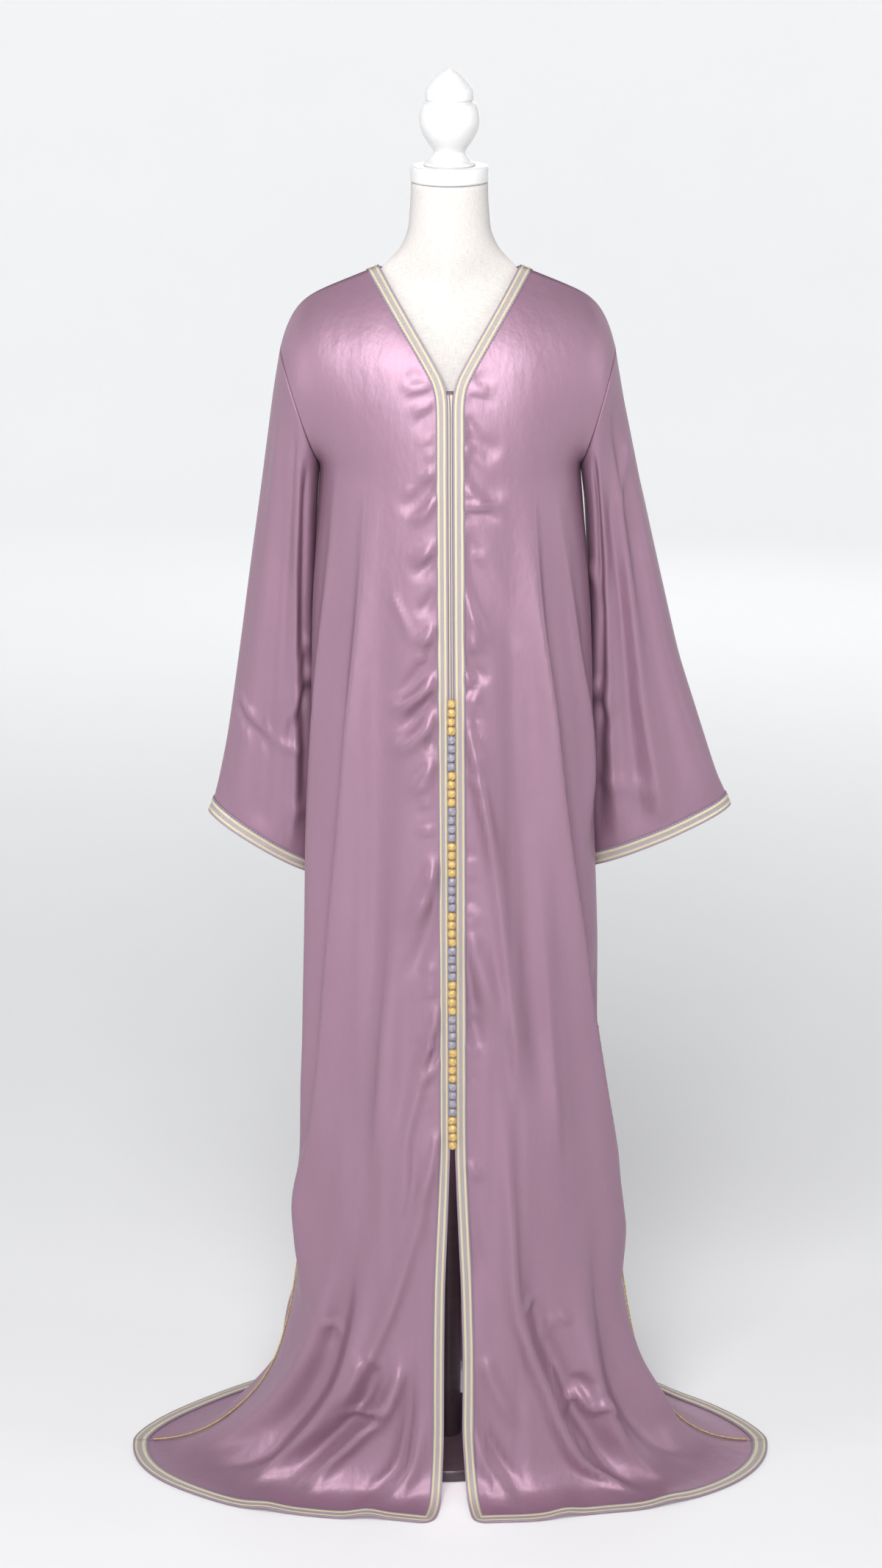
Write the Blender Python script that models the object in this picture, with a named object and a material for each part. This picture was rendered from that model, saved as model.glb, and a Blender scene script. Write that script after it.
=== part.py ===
"""Moroccan kaftan on a limbless dress form.

Metres, +Z up.  The origin is on the floor, on the axis of the form's pole.
The front faces -Y, so the wearer's left is +X and the wearer's right is -X.

The kaftan is a wall of cloth: two fronts, a back and two sleeves.  Every panel
is a grid of rows.  Below the underarm each row is a level ring of the skirt,
and above it the rows run from the neckline to the armhole.  Braid, knots and
cord are made from the panels' own points, moved out.
"""

import math

import bpy
from mathutils import Vector

# ---------------------------------------------------------------- driving sizes
CLOTH = 0.0018           # wall of the satin
GAP = 0.0003             # between pieces that touch
BRAID_WIDTH = 0.0155
BRAID_THICK = 0.0016
FRONT_EXPONENT = 2.2     # of a ring's front half: 2 is an ellipse, more is boxier
SIDES = {"right": -1, "left": 1}

# One row of the body for each level, from the hem to the underarm.
# Half-widths are measured to the side seams, front and back to the centre lines,
# and the edges are where the two front edges lie.  back_exponent shapes the ring's
# back half: 2 is an ellipse, and less draws the trailing hem to a corner at the seam.
# z, right, left, front, back, edge_right, edge_left, back_exponent
BODY_ROWS = (
    (0.0018, 0.421, 0.4255, 0.213, 0.262, -0.0220, 0.0330, 1.50),
    (0.0018, 0.4055, 0.410, 0.1975, 0.2465, -0.0150, 0.0290, 1.50),
    (0.0018, 0.365, 0.368, 0.168, 0.215, -0.0100, 0.0250, 1.50),
    (0.0120, 0.330, 0.335, 0.152, 0.195, -0.0090, 0.0225, 1.60),
    (0.0400, 0.290, 0.300, 0.142, 0.178, -0.0075, 0.0205, 1.75),
    (0.0850, 0.248, 0.270, 0.137, 0.166, -0.0062, 0.0172, 1.90),
    (0.1340, 0.224, 0.248, 0.134, 0.158, -0.0062, 0.0178, 2.05),
    (0.2000, 0.207, 0.235, 0.132, 0.152, -0.0060, 0.0178, 2.20),
    (0.2900, 0.194, 0.221, 0.131, 0.147, -0.0050, 0.0155, 2.20),
    (0.4000, 0.187, 0.206, 0.131, 0.142, -0.0010, 0.0105, 2.20),
    (0.4910, 0.186, 0.198, 0.130, 0.139, 0.0017, 0.0072, 2.20),
    (0.6000, 0.184, 0.190, 0.129, 0.135, 0.0014, 0.0069, 2.20),
    (0.7200, 0.181, 0.189, 0.128, 0.131, 0.0010, 0.0065, 2.20),
    (0.8400, 0.175, 0.184, 0.127, 0.126, 0.0006, 0.0061, 2.20),
    (0.9500, 0.171, 0.178, 0.126, 0.122, 0.0002, 0.0057, 2.20),
    (1.0600, 0.171, 0.178, 0.124, 0.117, -0.0004, 0.0051, 2.20),
    (1.1600, 0.168, 0.174, 0.121, 0.112, -0.0010, 0.0045, 2.20),
    (1.2550, 0.162, 0.166, 0.118, 0.107, -0.0015, 0.0040, 2.20),
    (1.3350, 0.157, 0.159, 0.114, 0.102, -0.0019, 0.0036, 2.20),
)
HEM_BRAID_ROW, SLIT_ROW, CORD_ROW = 1, 10, 11

# Upper front: where the inner edge lies as it climbs from the underarm level
# past the point of the V to the high point of the shoulder.
# rise (0 underarm level to 1 shoulder), x from the centre line, y, z
FRONT_EDGE = (
    (0.00, 0.00275, -0.114, 1.335),
    (0.18, 0.00275, -0.109, 1.390),
    (0.36, 0.00275, -0.102, 1.445),
    (0.52, 0.0220, -0.088, 1.478),
    (0.68, 0.0420, -0.068, 1.509),
    (0.84, 0.0635, -0.040, 1.542),
    (1.00, 0.0840, 0.000, 1.5735),
)
V_POINT = 2
CENTRE_LINE_X = 0.00085  # the closure stands a hair towards the wearer's left

# Upper back: the centre line from the underarm level to the back of the neck.
# rise, y, z
BACK_CENTRE = (
    (0.00, 0.102, 1.335),
    (0.18, 0.104, 1.382),
    (0.36, 0.104, 1.425),
    (0.52, 0.101, 1.462),
    (0.68, 0.093, 1.500),
    (0.84, 0.080, 1.535),
    (1.00, 0.064, 1.556),
)
BACK_NECK_END = 0.45     # share of the half back that lies under the neckline
BACK_BRAID_RISE = 0.963  # one braid's width below the top of the back

# Long soft folds of the body: ridges that run down from the chest.
# side (front -1, back 1), x_top, z_top, x_foot, z_foot, half_width, height
BODY_FOLDS = (
    (-1, -0.095, 1.37, -0.205, 0.08, 0.020, 0.0065),
    (-1, -0.138, 1.37, -0.165, 0.90, 0.016, 0.0040),
    (-1, 0.098, 1.37, 0.215, 0.10, 0.020, 0.0070),
    (-1, 0.136, 1.29, 0.172, 0.90, 0.016, 0.0040),
    (-1, 0.022, 1.04, 0.105, 0.06, 0.020, 0.0050),
    (-1, -0.020, 0.66, -0.095, 0.10, 0.018, 0.0045),
    (1, -0.105, 1.30, -0.190, 0.08, 0.022, 0.0070),
    (1, -0.040, 1.10, -0.075, 0.08, 0.020, 0.0060),
    (1, 0.045, 1.16, 0.085, 0.08, 0.020, 0.0065),
    (1, 0.110, 1.30, 0.205, 0.08, 0.022, 0.0070),
)
FOLD_FADE = 0.10         # height over which a fold dies away at each end

# Sleeves: the outer (upper) and inner (under) edge of each ring, armhole to cuff.
# They swing a little to the back, so that the body hides their inner edges.
# outer_x, outer_z, inner_x, inner_z, half_depth, y
SLEEVE_ROWS = {
    "right": (
        (0.2035, 1.4740, 0.1570, 1.3350, 0.062, 0.000),
        (0.2135, 1.4160, 0.1615, 1.2790, 0.058, 0.012),
        (0.2339, 1.2750, 0.1665, 1.1380, 0.048, 0.036),
        (0.2576, 1.1150, 0.1665, 1.0045, 0.043, 0.046),
        (0.2813, 0.9675, 0.1670, 0.8805, 0.040, 0.052),
        (0.2984, 0.8855, 0.1680, 0.8015, 0.038, 0.058),
        (0.3050, 0.8705, 0.1680, 0.7870, 0.038, 0.058),
    ),
    "left": (
        (0.2000, 1.4740, 0.1590, 1.3350, 0.062, 0.000),
        (0.2085, 1.4190, 0.1650, 1.2790, 0.058, 0.012),
        (0.2399, 1.2770, 0.1725, 1.1380, 0.048, 0.036),
        (0.2877, 1.0780, 0.1730, 0.9845, 0.043, 0.046),
        (0.3385, 0.9245, 0.1740, 0.8605, 0.040, 0.052),
        (0.3527, 0.8930, 0.1750, 0.8125, 0.038, 0.058),
        (0.3578, 0.8785, 0.1750, 0.7975, 0.038, 0.058),
    ),
}
ARMHOLE_GAP = 0.0005
HPS_X, HPS_Z = 0.0840, 1.5735
SHOULDER_SLOPE = 0.40    # fall of the shoulder line for its run
SHOULDER_TURN = 8.0      # how late it turns down over the shoulder

FRONT_COLUMNS = 10
BACK_NECK_COLUMNS = 3
BACK_RISES = (0.18, 0.36, 0.52, 0.68, 0.84, BACK_BRAID_RISE, 1.0)

# Round knots down the closure, in groups of one colour.
KNOT_TOP_Z, KNOT_FOOT_Z = 1.066, 0.491
KNOT_GROUPS, KNOTS_IN_GROUP = 13, 4
KNOT_RADIUS = 0.0047
KNOT_NECK = 0.0013
KNOT_SIDES = 6
CORD_RADIUS = 0.001

# Dress form.  exponent 2 is an ellipse; less draws the shoulders to a thin edge.
# z, half_width, front, back, exponent
FORM_ROWS = (
    (0.860, 0.148, 0.104, 0.102, 2.0),
    (0.940, 0.158, 0.112, 0.110, 2.0),
    (1.040, 0.140, 0.100, 0.098, 2.0),
    (1.120, 0.124, 0.092, 0.088, 2.0),
    (1.200, 0.134, 0.100, 0.088, 2.0),
    (1.270, 0.145, 0.109, 0.092, 2.0),
    (1.340, 0.147, 0.105, 0.094, 2.0),
    (1.410, 0.150, 0.092, 0.093, 2.0),
    (1.460, 0.156, 0.076, 0.086, 1.9),
    (1.495, 0.158, 0.062, 0.074, 1.8),
    (1.522, 0.145, 0.052, 0.064, 1.5),
    (1.541, 0.120, 0.046, 0.057, 1.3),
    (1.558, 0.094, 0.043, 0.052, 1.15),
    (1.575, 0.0770, 0.042, 0.048, 1.3),
    (1.592, 0.0610, 0.042, 0.046, 1.7),
    (1.610, 0.0515, 0.042, 0.045, 2.0),
    (1.640, 0.0470, 0.043, 0.044, 2.0),
    (1.672, 0.0455, 0.043, 0.043, 2.0),
)
FORM_SIDES = 28
DISC_RADIUS, DISC_Z, DISC_THICK = 0.0465, 1.6725, 0.0195
# Turned finial on the disc.  height above the disc, radius
FINIAL_PROFILE = (
    (0.0000, 0.0310), (0.0030, 0.0300), (0.0060, 0.0248), (0.0138, 0.0192),
    (0.0195, 0.0208), (0.0270, 0.0262), (0.0354, 0.0312), (0.0440, 0.0346),
    (0.0513, 0.0358), (0.0610, 0.0350), (0.0706, 0.0318), (0.0738, 0.0280),
    (0.0748, 0.0272), (0.0765, 0.0284), (0.0797, 0.0288), (0.0860, 0.0282),
    (0.0900, 0.0266), (0.0968, 0.0214), (0.1059, 0.0130), (0.1127, 0.0030),
)
POLE_RADIUS = 0.016
BASE_RADIUS, BASE_HEIGHT = 0.110, 0.016
ROUND_SIDES, FINIAL_SIDES, POLE_SIDES = 32, 20, 16


# ---------------------------------------------------------------- small helpers
def signed_power(value, power):
    return math.copysign(abs(value) ** power, value)


def lerp(a, b, t):
    return a + (b - a) * t


def table_at(table, position):
    """Read every column of a table at a position of its first column."""
    for low, high in zip(table, table[1:]):
        if position <= high[0]:
            share = (position - low[0]) / (high[0] - low[0])
            return [lerp(a, b, share) for a, b in zip(low, high)]
    return list(table[-1])


def fold_height(point, facing):
    """How far the long folds lift the cloth at a point of the front or the back."""
    lift = 0.0
    for side, x_top, z_top, x_foot, z_foot, half_width, height in BODY_FOLDS:
        if side != facing or not z_foot < point.z < z_top:
            continue
        down = (z_top - point.z) / (z_top - z_foot)
        fade = min(1.0, (z_top - point.z) / FOLD_FADE, (point.z - z_foot) / FOLD_FADE)
        off = (point.x - lerp(x_top, x_foot, down)) / half_width
        lift += height * fade * math.exp(-off * off)
    return lift


def folded(point, facing):
    return point + Vector((0.0, facing * fold_height(point, facing), 0.0))


# ---------------------------------------------------------------- body surface
def ring_point(row, sign, facing, angle):
    """Point of a level ring: angle 0 at the centre line, a quarter turn at the seam."""
    z, right, left, front, back = row[:5]
    width = left if sign > 0 else right
    depth, exponent = (front, FRONT_EXPONENT) if facing < 0 else (back, row[7])
    power = 2.0 / exponent
    x = sign * width * signed_power(math.sin(angle), power)
    y = facing * depth * signed_power(math.cos(angle), power)
    return folded(Vector((x, y, z)), facing)


def front_ring(row, sign):
    """A level row of one front, as a function of 0 at its edge to 1 at the side seam."""
    edge = row[6] if sign > 0 else row[5]
    width = row[2] if sign > 0 else row[1]
    start = math.asin(signed_power(sign * edge / width, FRONT_EXPONENT / 2.0))

    def at(share):
        return ring_point(row, sign, -1, lerp(start, math.pi / 2, share))
    return at


def back_ring(row, sign):
    def at(share):
        return ring_point(row, sign, 1, share * math.pi / 2)
    return at


def sleeve_point(row, sign, angle):
    """Point of a sleeve ring: angle 0 on the outer edge, half a turn at the underarm."""
    outer_x, outer_z, inner_x, inner_z, half_depth, y = row
    x = (outer_x + inner_x) / 2 + (outer_x - inner_x) / 2 * math.cos(angle)
    z = (outer_z + inner_z) / 2 + (outer_z - inner_z) / 2 * math.cos(angle)
    return Vector((sign * x, y - half_depth * math.sin(angle), z))


def shoulder_seam(sign, share):
    """The shoulder seam from the high point at the neck to the top of the armhole."""
    side = "left" if sign > 0 else "right"
    end_x, end_z = SLEEVE_ROWS[side][0][:2]
    x = lerp(HPS_X, end_x, share)
    straight_end = HPS_Z - SHOULDER_SLOPE * (end_x - HPS_X)
    z = lerp(HPS_Z, straight_end, share) - (straight_end - end_z) * share ** SHOULDER_TURN
    return Vector((sign * x, 0.0, z))


def back_top(sign, share):
    """The top of the back: half the neckline, then the shoulder seam."""
    if share <= BACK_NECK_END:
        turn = share / BACK_NECK_END * math.pi / 2
        centre_y, centre_z = BACK_CENTRE[-1][1:]
        z = lerp(centre_z, HPS_Z, 1.0 - math.cos(turn))
        return Vector((sign * HPS_X * math.sin(turn), centre_y * math.cos(turn), z))
    return shoulder_seam(sign, (share - BACK_NECK_END) / (1.0 - BACK_NECK_END))


def upper_row(sign, rise, facing):
    """A row above the underarm, blended between the four edges of the upper panel."""
    side = "left" if sign > 0 else "right"
    underarm = BODY_ROWS[-1]
    if facing < 0:
        _, x, y, z = table_at(FRONT_EDGE, rise)
        inner = Vector((CENTRE_LINE_X * (1.0 - rise) + sign * x, y, z))
        foot, top = front_ring(underarm, sign), lambda share: shoulder_seam(sign, share)
    else:
        _, y, z = table_at(BACK_CENTRE, rise)
        inner = Vector((0.0, y, z))
        foot, top = back_ring(underarm, sign), lambda share: back_top(sign, share)
    outer = sleeve_point(SLEEVE_ROWS[side][0], sign, math.pi * (1.0 - rise))
    outer.y *= -facing

    def at(share):
        across = foot(share).lerp(top(share), rise) + inner.lerp(outer, share)
        corners_low = foot(0.0).lerp(foot(1.0), share)
        corners_high = top(0.0).lerp(top(1.0), share)
        return across - corners_low.lerp(corners_high, rise)
    return at


# ---------------------------------------------------------------- panel grids
def edge_share(rows, index, width):
    """Share of a row at which it is one braid's width in from the panel's edge."""
    step = 0.01
    here = rows[index](0.0)
    along = (rows[index](step) - here) / step
    low, high = max(index - 1, 0), min(index + 1, len(rows) - 1)
    edge = (rows[high](0.0) - rows[low](0.0)).normalized()
    return width / along.cross(edge).length


def front_rows(sign):
    rows = [front_ring(row, sign) for row in BODY_ROWS]
    return rows + [upper_row(sign, entry[0], -1) for entry in FRONT_EDGE[1:]]


def front_shares(rows, index):
    first = edge_share(rows, index, BRAID_WIDTH)
    return [0.0] + [lerp(first, 1.0, k / (FRONT_COLUMNS - 1)) for k in range(FRONT_COLUMNS)]


def front_grid(sign):
    rows = front_rows(sign)
    return [[row(share) for share in front_shares(rows, index)] for index, row in enumerate(rows)]


def back_shares(sign):
    """Shares of the neckline, then those that meet the front's points on the shoulder."""
    neck = [BACK_NECK_END * k / BACK_NECK_COLUMNS for k in range(BACK_NECK_COLUMNS)]
    rows = front_rows(sign)
    return neck + [lerp(BACK_NECK_END, 1.0, share) for share in front_shares(rows, len(rows) - 1)]


def back_grid():
    """The whole back, from the wearer's right side seam to the left one."""
    halves = {}
    for sign in SIDES.values():
        rows = [back_ring(row, sign) for row in BODY_ROWS]
        rows += [upper_row(sign, rise, 1) for rise in BACK_RISES]
        shares = back_shares(sign)
        halves[sign] = [[row(share) for share in shares] for row in rows]
    return [right[:0:-1] + left for right, left in zip(halves[-1], halves[1])]


def sleeve_angles():
    """Angles round a sleeve that meet the points of both armhole edges."""
    front = [math.pi * (1.0 - entry[0]) for entry in FRONT_EDGE[::-1]]
    back = [math.pi * (1.0 + rise) for rise in BACK_RISES[:-1]]
    return front + back


def sleeve_grid(side):
    """Rings of a sleeve, armhole to cuff, each closed on itself."""
    sign = SIDES[side]
    angles = sleeve_angles()[::sign]
    return [[sleeve_point(row, sign, angle) for angle in angles] for row in SLEEVE_ROWS[side]]


def add_normals(grid, totals, closed):
    """Add each facet's normal to its corners; grids that share points share normals."""
    width = len(grid[0])
    for low, high in zip(grid, grid[1:]):
        for k in range(width if closed else width - 1):
            quad = (low[k], low[(k + 1) % width], high[(k + 1) % width], high[k])
            normal = (quad[2] - quad[0]).cross(quad[3] - quad[1])
            for point in quad:
                key = tuple(round(value, 6) for value in point)
                totals[key] = totals.get(key, Vector()) + normal


def normals_of(grid, totals):
    return [[totals[tuple(round(value, 6) for value in point)].normalized() for point in row]
            for row in grid]


def moved(grid, normals, distance):
    return [[p + n * distance for p, n in zip(points, directions)]
            for points, directions in zip(grid, normals)]


def pull_in(grid, rows=(), columns=()):
    """Draw edge rows and edge columns back by half a seam gap (index and inner index)."""
    for edge, inner in rows:
        grid[edge] = [p + (q - p).normalized() * GAP / 2 for p, q in zip(grid[edge], grid[inner])]
    for edge, inner in columns:
        for row in grid:
            row[edge] = row[edge] + (row[inner] - row[edge]).normalized() * GAP / 2
    return grid


# ---------------------------------------------------------------- solids
def make_object(name, points, faces, colour):
    mesh = bpy.data.meshes.new(name)
    mesh.from_pydata([tuple(p) for p in points], [], faces)
    mesh.validate()
    mesh.update()
    obj = bpy.data.objects.new(name, mesh)
    bpy.context.scene.collection.objects.link(obj)
    obj.data.materials.append(MATERIALS[colour])
    obj.data.shade_smooth()
    return obj


def wall(name, outer, inner, colour, closed=False):
    """A wall between two grids of the same size; closed joins its last column to its first."""
    rows, columns = len(outer), len(outer[0])
    points = [p for grid in (outer, inner) for row in grid for p in row]
    back = rows * columns

    def at(row, column):
        return row * columns + column % columns

    faces = []
    for r in range(rows - 1):
        for c in range(columns if closed else columns - 1):
            a, b, c_far, d = at(r, c), at(r, c + 1), at(r + 1, c + 1), at(r + 1, c)
            for corners in ((a, b, c_far), (a, c_far, d)):
                faces.append(corners)
                faces.append(tuple(back + i for i in reversed(corners)))
    for c in range(columns if closed else columns - 1):
        a, b = at(0, c), at(0, c + 1)
        faces.append((b, a, back + a, back + b))
        a, b = at(rows - 1, c), at(rows - 1, c + 1)
        faces.append((a, b, back + b, back + a))
    if not closed:
        for r in range(rows - 1):
            a, b = at(r, 0), at(r + 1, 0)
            faces.append((a, b, back + b, back + a))
            a, b = at(r, columns - 1), at(r + 1, columns - 1)
            faces.append((b, a, back + a, back + b))
    return make_object(name, points, faces, colour)


def rings_solid(name, rings, colour):
    """A solid through rings of points, closed by a flat cap at each end."""
    sides = len(rings[0])
    points = [p for ring in rings for p in ring]
    faces = [tuple(reversed(range(sides)))]
    for r in range(len(rings) - 1):
        for k in range(sides):
            a, b = r * sides + k, r * sides + (k + 1) % sides
            faces.append((a, b, b + sides, a + sides))
    last = (len(rings) - 1) * sides
    faces.append(tuple(range(last, last + sides)))
    return make_object(name, points, faces, colour)


def circle(radius, z, sides=ROUND_SIDES):
    turns = [2 * math.pi * k / sides for k in range(sides)]
    return [Vector((radius * math.cos(turn), radius * math.sin(turn), z)) for turn in turns]


def make_material(name, colour, roughness, metallic=0.0):
    material = bpy.data.materials.new(name)
    material.use_nodes = True
    shader = material.node_tree.nodes["Principled BSDF"]
    shader.inputs["Base Color"].default_value = (*colour, 1.0)
    shader.inputs["Roughness"].default_value = roughness
    shader.inputs["Metallic"].default_value = metallic
    return material


# ---------------------------------------------------------------- garment
def turned_out(grid):
    """Reverse each row, which turns the side that faces out."""
    return [row[::-1] for row in grid]


def panel_wall(name, grid, normals, seams):
    rows, columns = seams
    outer = pull_in([row[:] for row in grid], rows, columns)
    inner = pull_in(moved(grid, normals, -CLOTH), rows, columns)
    return wall(name, outer, inner, "satin")


def braid_on(name, grid, normals, closed=False, seams=((), ())):
    """Braid over a strip of a panel's own points."""
    low = pull_in(moved(grid, normals, GAP), *seams)
    high = pull_in(moved(grid, normals, GAP + BRAID_THICK), *seams)
    return wall(name, high, low, "braid", closed)


def part_of(grid, rows, columns):
    return [row[columns] for row in grid[rows]]


def body_grids():
    """The three panels.  The back takes its seam points from the fronts."""
    left, right, back = front_grid(1), front_grid(-1), back_grid()
    for row in range(len(BODY_ROWS)):
        back[row][0], back[row][-1] = right[row][-1], left[row][-1]
    shoulder = len(left[-1])
    back[-1][:shoulder] = right[-1][::-1]
    back[-1][-shoulder:] = left[-1]
    return {"left": left, "right": turned_out(right), "back": turned_out(back)}


def build_fronts_and_back():
    grids = body_grids()
    totals = {}
    for grid in grids.values():
        add_normals(grid, totals, False)
    normals = {name: normals_of(grid, totals) for name, grid in grids.items()}
    shoulder, both_ends = ((-1, -2),), ((0, 1), (-1, -2))
    for side in SIDES:
        build_front(side, grids[side], normals[side], shoulder, both_ends)
    panel_wall("back", grids["back"], normals["back"], (shoulder, both_ends))
    braid_on("hem_braid_back", grids["back"][:2], normals["back"][:2], seams=((), both_ends))
    middle, reach = len(grids["back"][0]) // 2, BACK_NECK_COLUMNS + 1
    neck = slice(middle - reach, middle + reach + 1)
    build_braid("neck_braid_back", grids["back"], normals["back"], slice(-2, None), neck, (shoulder, ()))
    build_closure(grids, normals)


def build_front(side, grid, normals, shoulder, both_ends):
    """One front with its two braids and its side cord.  The left front starts at its edge."""
    starts_at_edge = side == "left"
    if starts_at_edge:
        edge_strip, beyond_strip, strip_seam = slice(0, 2), slice(1, None), ((1, 0),)
        seam, next_to_seam = -1, -2
    else:
        edge_strip, beyond_strip, strip_seam = slice(-2, None), slice(None, -1), ((0, 1),)
        seam, next_to_seam = 0, 1
    panel_wall("front_" + side, grid, normals, (shoulder, ((seam, next_to_seam),)))
    build_braid("edge_braid_" + side, grid, normals, slice(None), edge_strip, (shoulder, strip_seam))
    build_braid("hem_braid_front_" + side, grid, normals, slice(0, 2), beyond_strip, ((), both_ends))
    build_side_cord(side, [row[seam] for row in grid], [row[seam] for row in normals])


def build_braid(name, grid, normals, rows, columns, seams):
    """Braid on the part of a panel that lies in these rows and columns."""
    braid_on(name, part_of(grid, rows, columns), part_of(normals, rows, columns), seams=seams)


def closure_rows(grids, normals):
    """Both front edges and the way out of the cloth, from the slit up to the V point."""
    edge = {"left": 0, "right": -1}
    first, last = SLIT_ROW, len(BODY_ROWS) - 1 + V_POINT
    rows = []
    for index in range(first, last + 1):
        right, left = grids["right"][index][edge["right"]], grids["left"][index][edge["left"]]
        out = (normals["right"][index][edge["right"]] + normals["left"][index][edge["left"]]).normalized()
        rows.append((right, left, out))
    return rows


def build_closure(grids, normals):
    """The narrow strip between the fronts, and the knots over it."""
    rows = closure_rows(grids, normals)
    outer, inner = [], []
    for right, left, out in rows:
        step = (left - right).normalized() * GAP
        pair = [right + step, left - step]
        outer.append(pair)
        inner.append([p - out * CLOTH for p in pair])
    wall("closure_strip", outer, inner, "zip")
    build_knots([((right + left) / 2, out) for right, left, out in rows])


def line_at(line, z):
    """Point and outward direction of the closure's middle at a height."""
    for (low, low_out), (high, high_out) in zip(line, line[1:]):
        if low.z <= z <= high.z:
            share = (z - low.z) / (high.z - low.z)
            return low.lerp(high, share), low_out.lerp(high_out, share).normalized()
    return line[0] if z < line[0][0].z else line[-1]


def build_knots(line):
    """Rows of touching round knots that stand on the two front braids."""
    count = KNOT_GROUPS * KNOTS_IN_GROUP
    pitch = (KNOT_TOP_Z - KNOT_FOOT_Z) / (count - 1)
    stand_off = BRAID_THICK + 2 * GAP + KNOT_RADIUS
    shape = ((0.0, KNOT_NECK), (0.28, KNOT_RADIUS), (0.72, KNOT_RADIUS))
    for group in range(KNOT_GROUPS):
        foot = KNOT_TOP_Z - pitch * (group * KNOTS_IN_GROUP + KNOTS_IN_GROUP - 0.5)
        stops = [(knot + at, radius) for knot in range(KNOTS_IN_GROUP) for at, radius in shape]
        stops.append((float(KNOTS_IN_GROUP), KNOT_NECK))
        stops[0] = (GAP / pitch, KNOT_NECK)
        rings = []
        for at, radius in stops:
            point, out = line_at(line, foot + at * pitch)
            centre = point + out * stand_off
            centre.z = foot + at * pitch
            rings.append([centre + Vector((radius * math.cos(2 * math.pi * k / KNOT_SIDES),
                                           radius * math.sin(2 * math.pi * k / KNOT_SIDES), 0.0))
                          for k in range(KNOT_SIDES)])
        colour = "gold" if group % 2 == 0 else "silver"
        rings_solid("knots_%02d" % (group + 1), rings, colour)


def build_side_cord(side, seam, out):
    """A thin cord laid on the side seam from the hem braid up to the knee."""
    curve = bpy.data.curves.new("side_cord_" + side, "CURVE")
    curve.dimensions = "3D"
    curve.bevel_depth = CORD_RADIUS
    curve.bevel_resolution = 1
    curve.use_fill_caps = True
    first, last = HEM_BRAID_ROW, CORD_ROW
    path = [seam[k] + out[k] * (CORD_RADIUS + GAP) for k in range(first, last + 1)]
    path[0] = path[0] + (path[1] - path[0]).normalized() * 2 * GAP
    spline = curve.splines.new("POLY")
    spline.points.add(len(path) - 1)
    for point, place in zip(spline.points, path):
        point.co = (*place, 1.0)
    obj = bpy.data.objects.new("side_cord_" + side, curve)
    bpy.context.scene.collection.objects.link(obj)
    curve.materials.append(MATERIALS["gold"])


def build_sleeve(side):
    sign = SIDES[side]
    grid = sleeve_grid(side)
    totals = {}
    add_normals(grid, totals, True)
    normals = normals_of(grid, totals)
    away = Vector((sign * ARMHOLE_GAP, 0.0, -ARMHOLE_GAP))
    grid[0] = [p + away for p in grid[0]]
    wall("sleeve_" + side, grid, moved(grid, normals, -CLOTH), "satin", closed=True)
    braid_on("cuff_braid_" + side, grid[-2:], normals[-2:], closed=True)


# ---------------------------------------------------------------- dress form
def build_form():
    rings = []
    for z, half_width, front, back, exponent in FORM_ROWS:
        ring = []
        for k in range(FORM_SIDES):
            angle = 2 * math.pi * k / FORM_SIDES
            depth = back if math.sin(angle) > 0 else front
            x = half_width * signed_power(math.cos(angle), 2.0 / exponent)
            ring.append(Vector((x, depth * signed_power(math.sin(angle), 2.0 / exponent), z)))
        rings.append(ring)
    rings_solid("form_torso", rings, "linen")
    disc_top = DISC_Z + DISC_THICK
    rim = 0.002
    disc = ((DISC_RADIUS - rim, DISC_Z), (DISC_RADIUS, DISC_Z + rim),
            (DISC_RADIUS, disc_top - rim), (DISC_RADIUS - rim, disc_top))
    rings_solid("neck_disc", [circle(radius, z) for radius, z in disc], "white")
    foot = disc_top + GAP
    turned = [circle(radius, foot + height, FINIAL_SIDES) for height, radius in FINIAL_PROFILE]
    rings_solid("finial", turned, "white")
    rings_solid("pole", [circle(POLE_RADIUS, BASE_HEIGHT + GAP, POLE_SIDES),
                         circle(POLE_RADIUS, FORM_ROWS[0][0] - GAP, POLE_SIDES)], "dark")
    bevel = 0.003
    rings_solid("base", [circle(BASE_RADIUS, 0.0), circle(BASE_RADIUS, BASE_HEIGHT - bevel),
                         circle(BASE_RADIUS - bevel, BASE_HEIGHT)], "dark")


def main():
    for obj in list(bpy.data.objects):
        bpy.data.objects.remove(obj, do_unlink=True)
    MATERIALS.update({
        "satin": make_material("satin", (0.42, 0.25, 0.38), 0.35),
        "braid": make_material("braid", (0.55, 0.47, 0.58), 0.55),
        "gold": make_material("gold", (0.69, 0.46, 0.10), 0.40),
        "silver": make_material("silver", (0.42, 0.38, 0.58), 0.45),
        "zip": make_material("zip", (0.45, 0.38, 0.48), 0.60),
        "linen": make_material("linen", (0.86, 0.83, 0.80), 0.85),
        "white": make_material("white", (0.88, 0.87, 0.85), 0.25),
        "dark": make_material("dark", (0.05, 0.04, 0.04), 0.45),
    })
    build_fronts_and_back()
    for side in SIDES:
        build_sleeve(side)
    build_form()


MATERIALS = {}
main()
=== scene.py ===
"""Looks of the Moroccan kaftan on its dress form.

The cloth is a thin shell on the CAD panels' own form.  Each panel is a fine grid of
points: rows run across the cloth and "along" is the distance up it from the hem.
Long folds, puckers and crumples lift or sink the grid along its normals.
"""

import math

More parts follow.
